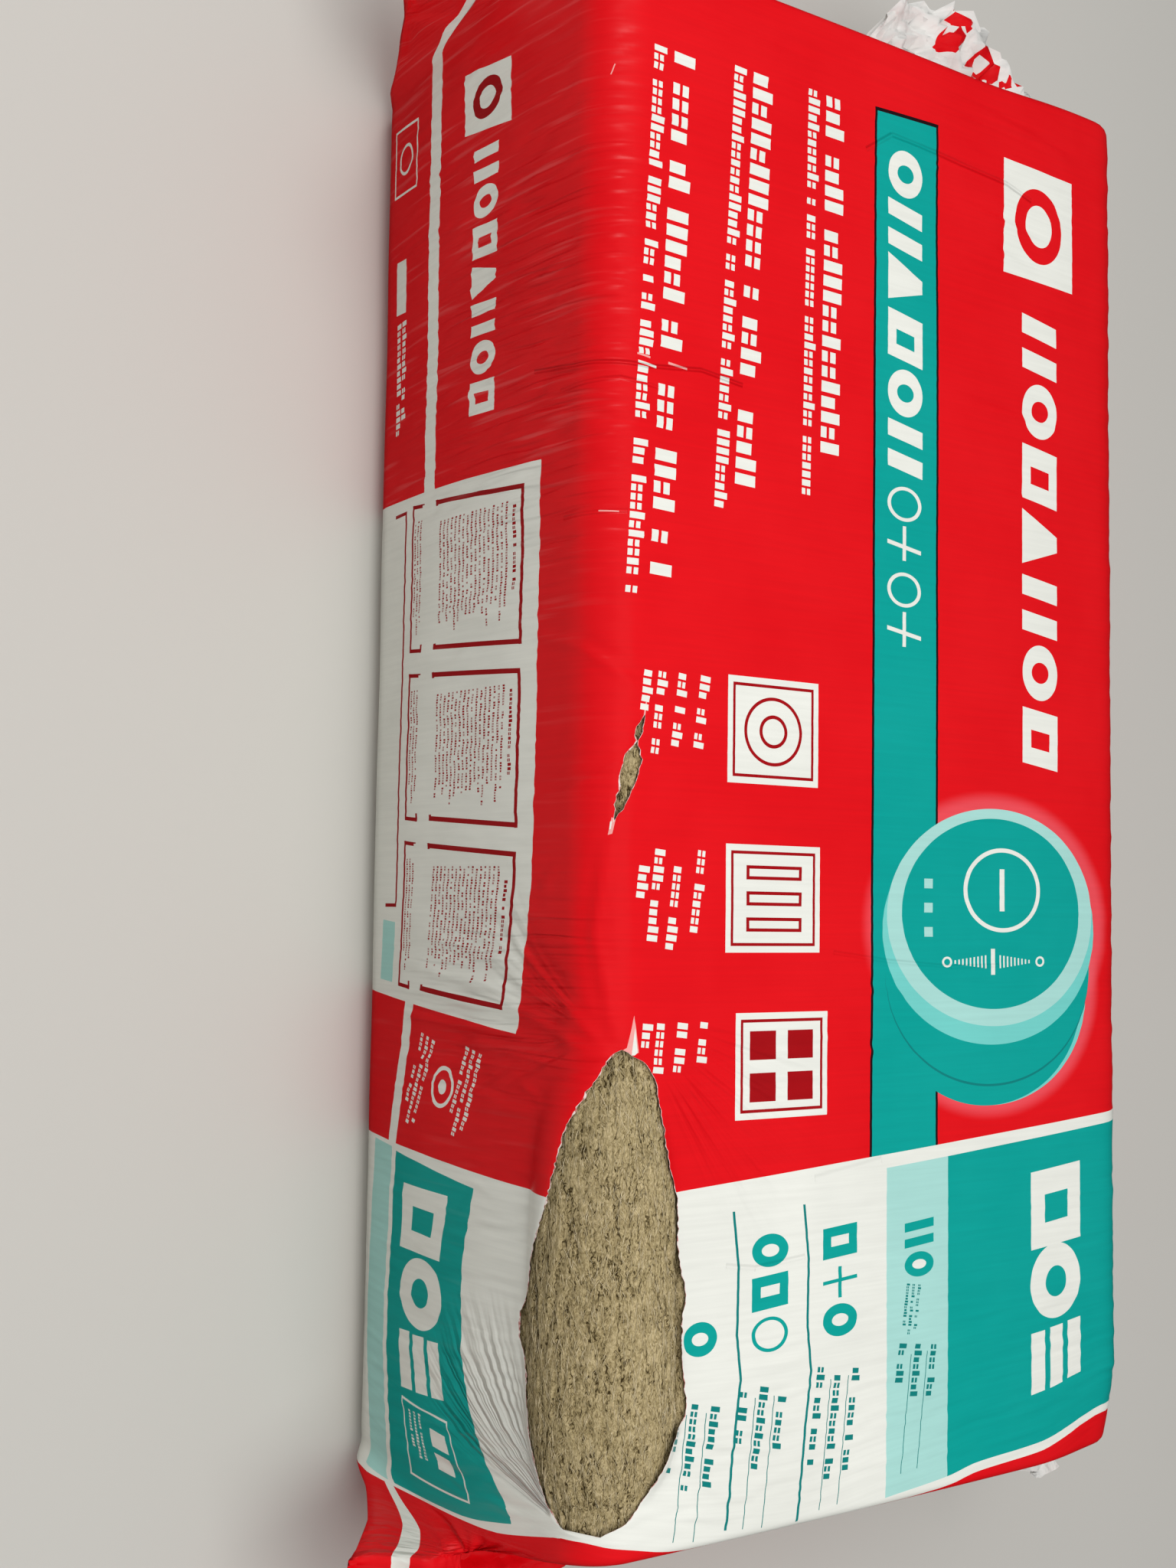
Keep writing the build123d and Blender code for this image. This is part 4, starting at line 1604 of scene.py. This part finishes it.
    def fray(self, bm: bmesh.types.BMesh) -> None:
        """Adds a narrow ragged rim along both tears, curled up from the film."""
        first, last = self.tears.short_start - 8, self.tears.long_end + 4
        rim = []
        for e in bm.edges:
            if e.is_boundary and all(first < v.co.x / MM < last and v.co.y < -0.15 for v in e.verts):
                rim.append(e)
        way = {}
        for vert in {v for e in rim for v in e.verts}:
            inner = sum((f.calc_center_median() for f in vert.link_faces), Vector()) / len(vert.link_faces)
            out = vert.co - inner
            out -= out.dot(vert.normal) * vert.normal
            out.x = 0
            if out.length > 1e-7:
                way[vert.index] = (out.normalized(), vert.normal.copy())
        bm.verts.index_update()
        places = {v.index: v.co.copy() for e in rim for v in e.verts}
        made = bmesh.ops.extrude_edge_only(bm, edges=rim)["geom"]
        draw = np.random.default_rng(31)
        for vert in (g for g in made if isinstance(g, bmesh.types.BMVert)):
            x = vert.co.x / MM
            start = min(places, key=lambda i: (places[i] - vert.co).length_squared)
            if start not in way:
                continue
            out, up = way[start]
            long = self.rim_length * (0.35 + 0.9 * draw.random() ** 2)
            long *= 0.6 + 0.4 * math.sin(x / 5.3) + 0.3 * math.sin(x / 2.1)
            long *= 0.4 if out.y < -abs(out.z) else 1.0
            long = max(long, self.least_rim)
            vert.co += (long * out + self.rim_lift * long * up) * MM
        for face in (g for g in made if isinstance(g, bmesh.types.BMFace)):
            face.material_index = RIM_SLOT

    def dress(self) -> None:
        """Gives each face of the film the material of its part of the print, and a slot and body."""
        art = BagPrint()
        art.lay_out()
        finish = PrintedFilm()
        mesh = self.skin.data
        mesh.materials.append(finish.torn_edge())
        for number in range(art.zone_count()):
            relief = finish.relief(art.zone_box(number))
            material = finish.material(f"printed_film_{number + 1}", art.zone_shapes(number), relief)
            mesh.materials.append(material)
        uv = read_all(mesh.uv_layers["print"].data, "uv", 2) / MM
        starts = read_all(mesh.polygons, "loop_start")
        totals = read_all(mesh.polygons, "loop_total")
        slots = read_all(mesh.polygons, "material_index")
        centres = np.add.reduceat(uv, starts) / totals[:, None]
        slots = np.where(slots == RIM_SLOT, 0, 1 + art.zone_of(centres))
        mesh.polygons.foreach_set("material_index", slots)
        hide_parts("film_wrap")
        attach(self.skin, "root")


@dataclass(frozen=True)
class StoneWool:
    """Bonded stone-wool fibre: dead matt, combed along the batt, with painted shade in its splits and
    hollows.

    The noises are of fibres, threads, tufts, patches and layers: what each is laid on, how that
    is stretched, and its scale, detail and roughness. The weights are of the depth and of all
    but the layers, whose edges are crevices. Low depth and the crevices darken the colour as painted shade,
    and lower the bump.
    """

    palest: str = "#E8D8B4"
    light: str = "#CFBD93"
    middle: str = "#A6946A"
    dark: str = "#43361F"
    roughness: float = 0.94
    specular: float = 0.12
    noises: tuple[tuple, ...] = (
        ("curl", (150.0, 430.0, 430.0), 1.0, 6.0, 0.75),
        ("curl", (420.0, 900.0, 900.0), 1.0, 3.0, 0.5),
        ("place", None, 95.0, 3.0, 0.5),
        ("place", None, 14.0, 2.0, 0.5),
        ("curl", (16.0, 105.0, 105.0), 1.0, 3.0, 0.5),
    )
    weights: tuple[float, ...] = (0.42, 1.3, 0.9, 0.25, 0.15)
    crevice_width: float = 0.022
    crevice_depth: float = 0.3
    tones: tuple[float, float] = (1.18, 1.76)
    relief: float = 0.0018

    def material(self, name: str) -> bpy.types.Material:
        """The wool of a batt, whose mesh carries the depth of its fibres as an attribute that darkens its
        hollows as painted shade.
        """
        material, shader = new_material(name, self.roughness, self.specular)
        tree = material.node_tree
        place = add_node(tree, "TexCoord", {}, "Object")
        curl = add_node(tree, "TexNoise", {"Vector": place, "Scale": 170.0, "Detail": 1.0}, "Color")
        given = {0: curl, 1: (0.006, 0.006, 0.006), 2: place}
        curl = add_node(tree, "VectorMath", given, operation="MULTIPLY_ADD")
        noises = []
        for vector, stretch, scale, detail, roughness in self.noises:
            vector = curl if vector == "curl" else place
            if stretch:
                vector = add_node(tree, "Mapping", {"Vector": vector, "Scale": stretch})
            given = {"Vector": vector, "Scale": scale, "Detail": detail, "Roughness": roughness}
            noises.append(add_node(tree, "TexNoise", given))
        # The layers' crevices and low depth darken the colour below: painted shade in the wool's hollows,
        # also used as bump.
        away = add_node(tree, "Math", {0: noises.pop(), 1: 0.5}, operation="SUBTRACT")
        away = add_node(tree, "Math", {0: away}, operation="ABSOLUTE")
        given = {"Value": away, "From Max": self.crevice_width, "To Min": -self.crevice_depth, "To Max": 0.0}
        total = add_node(tree, "MapRange", given)
        depth = add_node(tree, "Attribute", {}, "Fac", attribute_name="depth")
        for value, weight in zip((depth, *noises), self.weights):
            total = add_node(tree, "Math", {0: value, 1: weight, 2: total}, operation="MULTIPLY_ADD")
        given = {"Value": total, "From Min": self.tones[0], "From Max": self.tones[1]}
        colour = add_node(tree, "ValToRGB", {"Fac": add_node(tree, "MapRange", given)})
        set_stops(colour.node.color_ramp, ((0.04, self.dark), (0.9, self.light), (0.45, self.middle)))
        bump = add_node(tree, "Bump", {"Height": total, "Strength": 1.0, "Distance": self.relief})
        shader.inputs["Diffuse Roughness"].default_value = 1.0
        tree.links.new(colour, shader.inputs["Base Color"])
        tree.links.new(bump, shader.inputs["Normal"])
        return material

    def loose(self) -> bpy.types.Material:
        """Single fibres, paler than the mat that they stand out of."""
        material, shader = new_material("loose_wool", self.roughness, self.specular)
        tree = material.node_tree
        place = add_node(tree, "TexCoord", {}, "Object")
        tone = add_node(tree, "TexNoise", {"Vector": place, "Scale": 160.0})
        colour = add_node(tree, "ValToRGB", {"Fac": tone})
        set_stops(colour.node.color_ramp, ((0.35, self.middle), (0.65, self.palest)))
        tree.links.new(colour, shader.inputs["Base Color"])
        return material


@dataclass
class WoolBatt:
    """One batt on edge: a rounded slab of combed fibre, squeezed to the pack's outline."""

    number: int
    form: PackForm = PackForm()
    swelling: Swelling = Swelling()
    count: int = 8
    thick: float = 74.0
    tall: float = 362.0
    half_length: float = 597.0
    low: float = 0.8
    outer_corner: float = 42.0
    seam: float = 7.0
    sunk: float = 2.4
    short_bulge: float = 2.2
    slit_bulge: float = 1.8
    swelling_softness: float = 2.5
    coarse_grid: float = 14.0
    coarse_columns: int = 61
    end_round: float = 6.0
    slope_reach: float = 1.5
    least_rows: int = 40
    piece: bpy.types.Object = field(default=None)

    def outline(self) -> tuple[np.ndarray, np.ndarray]:
        """The section as dense points of Y and Z, anticlockwise seen from +X."""
        a = -self.count * self.thick / 2 + (self.number - 1) * self.thick
        b = a + self.thick
        top = self.low + self.tall
        front = self.outer_corner if self.number == 1 else self.seam
        back = self.outer_corner if self.number == self.count else self.seam
        middle = self.low + self.tall / 2
        corners = (
            (a, top, front, 180, 1, -1),
            (a, self.low, front, 270, 1, 1),
            (b, self.low, back, 0, -1, 1),
            (b, top, back, 90, -1, -1),
        )
        points = []
        for y, z, radius, start, sy, sz in corners:
            turn = np.radians(np.linspace(start - 90, start, 24))
            cy, cz = y + sy * radius, z + sz * radius
            points.append(np.stack([cy + radius * np.cos(turn), cz + radius * np.sin(turn)], -1))
        loop = np.concatenate(points)
        loop = np.concatenate([loop, loop[:1]])
        run = np.concatenate([[0], np.cumsum(np.hypot(*np.diff(loop, axis=0).T))])
        dense = np.linspace(0, run[-1], round(run[-1]))
        y, z = np.interp(dense, run, loop[:, 0]), np.interp(dense, run, loop[:, 1])
        bow = self.form.bulge * (1 - ((z - middle) / (self.tall / 2)) ** 2)
        crown = self.form.crown * (1 - (y / self.form.half_width) ** 2)
        if self.number == 1:
            y = y - bow * (b - y) / (b - a)
        if self.number == self.count:
            y = y + bow * (y - a) / (b - a)
        z = z + crown * (z - self.low) / self.tall
        return y, z

    def spacing(self, y: np.ndarray, z: np.ndarray) -> np.ndarray:
        """Grid spacing wanted at each point of the outline, fine where a tear shows it."""
        coarse = np.full_like(y, self.coarse_grid)
        if self.number == 1:
            return np.where((z > 255) & (y < -219), 1.35, coarse)
        if self.number == 2:
            return np.where((z > 352) & (y < -196), 2.0, coarse)
        return coarse

    def columns(self) -> np.ndarray:
        """Positions of the grid's columns along X."""
        end = self.half_length
        if self.number > 2:
            return np.linspace(-end, end, self.coarse_columns)
        step = 1.7 if self.number == 1 else 4.0
        marks = ((-end, 16.0), (-30, step), (86, 14.0), (222, step), (590, 3.0), (end, 3.0))
        parts = []
        for (x0, pace), (x1, _) in zip(marks[:-1], marks[1:]):
            parts.append(np.linspace(x0, x1, max(2, round((x1 - x0) / pace)), endpoint=False))
        return np.append(np.concatenate(parts), end)

    def build(self) -> None:
        """Makes the batt's mesh: a grid rolled round its section and closed at both ends."""
        y, z = self.outline()
        pace = np.concatenate([[0], np.cumsum(np.hypot(np.diff(y), np.diff(z)) / self.spacing(y, z)[:-1])])
        rows_count = max(self.least_rows, int(pace[-1]))
        places = np.arange(len(y))
        index = np.interp(np.linspace(0, pace[-1], rows_count + 1), pace, places)
        row_y, row_z = np.interp(index, places, y), np.interp(index, places, z)
        ahead, behind = (index + self.slope_reach) % (len(y) - 1), (index - self.slope_reach) % (len(y) - 1)
        slope_y = np.interp(ahead, places, y) - np.interp(behind, places, y)
        slope_z = np.interp(ahead, places, z) - np.interp(behind, places, z)
        long = np.hypot(slope_y, slope_z)
        normal_y, normal_z = slope_z / long, -slope_y / long
        run = np.concatenate([[0], np.cumsum(np.hypot(np.diff(row_y), np.diff(row_z)))])
        x_col = self.columns()
        bm = bmesh.new()
        bmesh.ops.create_grid(bm, x_segments=len(x_col) - 1, y_segments=rows_count, size=0.5)
        mesh = bpy.data.meshes.new(f"wool_batt_{self.number}")
        bm.to_mesh(mesh)
        bm.free()
        flat = read_all(mesh.vertices, "co", 3)
        column = np.rint((flat[:, 0] + 0.5) * (len(x_col) - 1)).astype(int)
        row = np.rint((flat[:, 1] + 0.5) * rows_count).astype(int)
        x = x_col[column]
        at = np.stack([x, row_y[row], row_z[row]], -1)
        height = self.fibre_height(x, run[row], run[-1])
        rounding = self.end_rounding(x)
        at[:, 1] += (height - rounding) * normal_y[row]
        at[:, 2] += (height - rounding) * normal_z[row]
        if self.number == 1:
            self.swelling.push_out(at, 0.0, self.swelling_softness)
            self.comb(at, height)
            self.swell_under_short_tear(at)
        self.form.slump(at)
        mesh.vertices.foreach_set("co", (at * MM).ravel())
        # Depth of the fibre relief, which the wool material turns into painted shade in the hollows.
        depth = mesh.attributes.new("depth", "FLOAT", "POINT")
        depth.data.foreach_set("value", np.clip(0.5 + height / 7, 0, 1))
        self.close_up(mesh)
        self.piece = add_object(mesh)

    def swell_under_short_tear(self, at: np.ndarray) -> None:
        """Lets the wool rise a little where the short tear bares it, in place."""
        x = at[:, 0]
        bared = bump_up(x, -6, 14) * (1 - bump_up(x, 56, 78)) * bump_up(at[:, 2], 335, 352)
        at[:, 2] += self.short_bulge * bared * (at[:, 1] > -330)
        opening = bump_up(x, 8, 24) * (1 - bump_up(x, 46, 64))
        off_path = (at[:, 1] + 270 + 0.25 * (x - 25)) / 6
        at[:, 2] += self.slit_bulge * opening * np.exp(-(off_path**2)) * (at[:, 2] > 300)

    def end_rounding(self, x: np.ndarray) -> np.ndarray:
        """How far the batt's surface draws in towards its cut ends."""
        radius = self.end_round
        away = np.clip(np.abs(x) - (self.half_length - radius), 0, radius)
        return self.sunk + radius - np.sqrt(np.maximum(radius**2 - away**2, 0))

    def fibre_height(self, x: np.ndarray, run: np.ndarray, girth: float) -> np.ndarray:
        """Height of the combed fibre mat over its mean, in millimetres, alike at both ends of a turn."""
        fade = np.clip(np.minimum(run, girth - run) / 25, 0, 1)
        sway = 4.0 * ripples(x / 160, run / 90, 7, 41)
        sway += 1.4 * ripples(x / 45, run / 30, 7, 42)
        level = run + sway
        layers = ripples(x / 120, level / 7.5, 12, 43)
        strands = ripples(x / 60, level / 3.6, 12, 44)
        split = ripples(x / 110, level / 17, 9, 45)
        tufts = ripples(x / 17, run / 8, 12, 46)
        height = 0.5 * layers + 0.45 * strands + 0.22 * tufts
        height -= 3.0 * np.clip(split - 0.85, 0, 0.6)
        height -= 1.3 * np.clip(-layers - 0.8, 0, 1)
        return fade * height

    def comb(self, at: np.ndarray, height: np.ndarray) -> None:
        """Gives the swollen part its fibre relief again, straight out of the swelling, in place."""
        dy, dz = at[:, 1] - self.swelling.axis_y, at[:, 2] - self.swelling.axis_z
        away = np.hypot(dy, dz)
        radius = self.swelling.radius(at[:, 0])
        inside = (away < radius + 4) & (at[:, 0] > 215) & (at[:, 0] < 590) & (dy < 40) & (dz > -60)
        add = np.where(inside, height - 0.6, 0)
        at[:, 1] += add * dy / np.clip(away, 1, None)
        at[:, 2] += add * dz / np.clip(away, 1, None)

    def close_up(self, mesh: bpy.types.Mesh) -> None:
        """Joins the roll's two edges and fills both ends."""
        bm = bmesh.new()
        bm.from_mesh(mesh)
        edge = [v for v in bm.verts if v.is_boundary]
        bmesh.ops.remove_doubles(bm, verts=edge, dist=0.0003)
        bmesh.ops.holes_fill(bm, edges=[e for e in bm.edges if e.is_boundary], sides=0)
        bmesh.ops.recalc_face_normals(bm, faces=bm.faces)
        for face in bm.faces:
            face.smooth = True
        bm.to_mesh(mesh)
        bm.free()

    def dress(self, material: bpy.types.Material) -> None:
        """Gives the batt its wool and its body."""
        self.piece.data.materials.append(material)
        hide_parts(f"batt_{self.number}")
        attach(self.piece, "root")


@dataclass
class LooseFibres:
    """Fine fibres that stand out of the first batt where the film is torn."""

    swelling: Swelling = Swelling()
    tears: Tears = Tears()
    count: int = 2600
    thickness: float = 0.17
    lengths: tuple[float, float] = (6.0, 22.0)
    swing: float = 0.28
    rises: tuple[float, float] = (0.2, 1.5)
    bending: float = 1.6
    least_reach: float = 43.0
    clear: float = 1.2
    piece: bpy.types.Object = field(default=None)

    def build(self, batt: bpy.types.Object) -> None:
        """Lays curved fibres over the wool that the long tear shows.

        Args:
            batt: The batt that they lie on.
        """
        draw = np.random.default_rng(52)
        mesh = batt.data
        at = read_all(mesh.vertices, "co", 3) / MM
        normal = read_all(mesh.vertex_normals, "vector", 3)
        facing = normal[:, 1] * -0.5 + normal[:, 2] * 0.86
        shown = (at[:, 0] > 236) & (at[:, 0] < 582) & (at[:, 1] < -220) & (at[:, 2] > 262) & (facing > 0.05)
        roots = draw.choice(np.flatnonzero(shown), self.count, replace=False)
        curve = bpy.data.curves.new("loose_fibres", "CURVE")
        curve.dimensions = "3D"
        curve.bevel_depth = self.thickness * MM
        curve.bevel_resolution = 0
        for root in roots:
            long = draw.uniform(*self.lengths)
            turn = draw.normal(0, self.swing)
            side = np.cross(normal[root], (1.0, 0, 0))
            way = np.array([math.cos(turn), 0, 0]) + math.sin(turn) * side
            rise = draw.uniform(*self.rises)
            bend = draw.normal(0, self.bending)
            spline = curve.splines.new("POLY")
            spline.points.add(3)
            for point, t in zip(spline.points, (0.0, 0.33, 0.67, 1.0)):
                hump = math.sin(math.pi * t)
                place = at[root] + way * long * (t - 0.5) + side * bend * hump
                place = place + normal[root] * (rise * hump - 0.25)
                self.keep_on(place)
                point.co = (*(place * MM), 1)
                point.radius = 1.2 - 0.7 * t
        holder = bpy.data.objects.new("fibre_curves", curve)
        fibres = bpy.data.meshes.new_from_object(holder)
        fibres.name = "loose_fibres"
        bpy.data.objects.remove(holder)
        self.piece = add_object(fibres)

    def keep_on(self, place: np.ndarray) -> None:
        """Draws a point in to the swelling where it would hang clear of it, in place."""
        dy, dz = place[1] - self.swelling.axis_y, place[2] - self.swelling.axis_z
        away = math.hypot(dy, dz)
        radius = float(self.swelling.radius(np.array([place[0]]))[0])
        reach = max(radius, self.least_reach) + self.clear
        if away > reach and dy < 20:
            place[1] = self.swelling.axis_y + dy * reach / away
            place[2] = self.swelling.axis_z + dz * reach / away

    def dress(self, material: bpy.types.Material) -> None:
        """Gives the fibres their material, slot and body."""
        self.piece.data.materials.clear()
        self.piece.data.materials.append(material)
        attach(self.piece, "root")


@dataclass
class Studio:
    """The pale floor and backdrop, the lamps and the camera."""

    camera_at: tuple[float, float, float] = (133.0, -1062.0, 1437.0)
    yaw: float = -6.97
    pitch: float = 54.77
    roll: float = -4.84
    focal_pixels: float = 2363.0
    image_height: float = 2048.0
    sensor: float = 36.0
    room_light: float = 0.41
    room_glare: float = 0.04
    floor_reach: float = 7.0
    sweep_start: float = 2.6
    sweep_rise: float = 0.12
    floor_colour: str = "#CDCAC3"

    def build(self) -> None:
        """Makes everything that is round the object."""
        self.add_camera()
        self.add_floor()
        self.add_lights()

    def add_camera(self) -> None:
        """Puts the camera where the photograph was taken from, held on its side."""
        yaw, pitch, roll = (math.radians(a) for a in (self.yaw, self.pitch, self.roll))
        level_share = math.cos(pitch)
        look = Vector((math.sin(yaw) * level_share, math.cos(yaw) * level_share, -math.sin(pitch)))
        level = Vector((math.cos(yaw), -math.sin(yaw), 0))
        rise = level.cross(look)
        right = math.cos(roll) * level + math.sin(roll) * rise
        up = -math.sin(roll) * level + math.cos(roll) * rise
        data = bpy.data.cameras.new("camera")
        data.sensor_width = self.sensor
        data.sensor_fit = "AUTO"
        data.lens = self.sensor * self.focal_pixels / self.image_height
        camera = bpy.data.objects.new("camera", data)
        turn = Matrix((up, -right, -look)).transposed().to_4x4()
        camera.matrix_world = Matrix.Translation(Vector(self.camera_at) * MM) @ turn
        bpy.context.scene.collection.objects.link(camera)
        bpy.context.scene.camera = camera

    def add_floor(self) -> None:
        """Lays a plain pale floor under the pack, swept up into a backdrop on all sides."""
        bm = bmesh.new()
        bmesh.ops.create_grid(bm, x_segments=64, y_segments=64, size=self.floor_reach)
        for vert in bm.verts:
            beyond = max(0.0, math.hypot(vert.co.x, vert.co.y) - self.sweep_start)
            vert.co.z = self.sweep_rise * beyond**2
        for face in bm.faces:
            face.smooth = True
        mesh = bpy.data.meshes.new("floor")
        bm.to_mesh(mesh)
        bm.free()
        floor = add_object(mesh)
        material, shader = new_material("pale_floor", roughness=0.8)
        shader.inputs["Base Color"].default_value = linear(self.floor_colour)
        mesh.materials.append(material)
        floor.visible_glossy = False

    def add_lights(self) -> None:
        """Lights the pack softly from above and behind."""
        scene = bpy.context.scene
        scene.view_settings.view_transform = "Standard"
        world = bpy.data.worlds.new("room")
        world.use_nodes = True
        tree = world.node_tree
        bright = tree.nodes["Background"]
        bright.inputs["Color"].default_value = (0.96, 0.98, 1.0, 1.0)
        bright.inputs["Strength"].default_value = self.room_light
        dim = add_node(tree, "Background", {"Strength": self.room_light * self.room_glare})
        glossy = add_node(tree, "LightPath", {}, "Is Glossy Ray")
        mix = add_node(tree, "MixShader", {0: glossy, 1: bright.outputs[0], 2: dim})
        tree.links.new(mix, tree.nodes["World Output"].inputs["Surface"])
        scene.world = world
        ceiling = self.add_lamp("ceiling", (0.2, -0.75, 2.9), (0.0, -0.05, 0.25), 3.0, 1.6, 58.0)
        ceiling.visible_glossy = False
        self.add_lamp("window", (-2.3, -0.9, 1.8), (0.0, -0.2, 0.2), 1.4, 0.5, 14.0)

    def add_lamp(
        self,
        name: str,
        place: tuple[float, float, float],
        target: tuple[float, float, float],
        long: float,
        wide: float,
        power: float,
    ) -> bpy.types.Object:
        """Hangs one soft rectangular lamp, turned towards a target.

        Args:
            name: The lamp's name.
            place: Where it hangs, in metres.
            target: What it points at, in metres.
            long: Its size along its own X, in metres.
            wide: Its size along its own Y, in metres.
            power: Its power in watts.
        Returns:
            The lamp.
        """
        data = bpy.data.lights.new(name, "AREA")
        data.shape = "RECTANGLE"
        data.size = long
        data.size_y = wide
        data.energy = power
        lamp = bpy.data.objects.new(name, data)
        aim = Vector(target) - Vector(place)
        turn = aim.to_track_quat("-Z", "Y").to_matrix().to_4x4()
        lamp.matrix_world = Matrix.Translation(place) @ turn
        bpy.context.scene.collection.objects.link(lamp)
        return lamp


def main() -> None:
    """Builds the pack's pieces and what is round them, in order."""
    logging.basicConfig(level=logging.INFO, format="%(message)s")
    wool = StoneWool()
    finish = wool.material("stone_wool")
    batts = [WoolBatt(number) for number in range(1, 9)]
    for batt in batts:
        batt.build()
        batt.dress(finish)
        log.info("wool batt %d: %d faces", batt.number, len(batt.piece.data.polygons))
    fibres = LooseFibres()
    fibres.build(batts[0].piece)
    fibres.dress(wool.loose())
    log.info("loose fibres: %d faces", len(fibres.piece.data.polygons))
    bag = FilmBag()
    bag.build()
    bag.dress()
    log.info("film skin: %d faces", len(bag.skin.data.polygons))
    Studio().build()


if __name__ == "__main__":
    main()
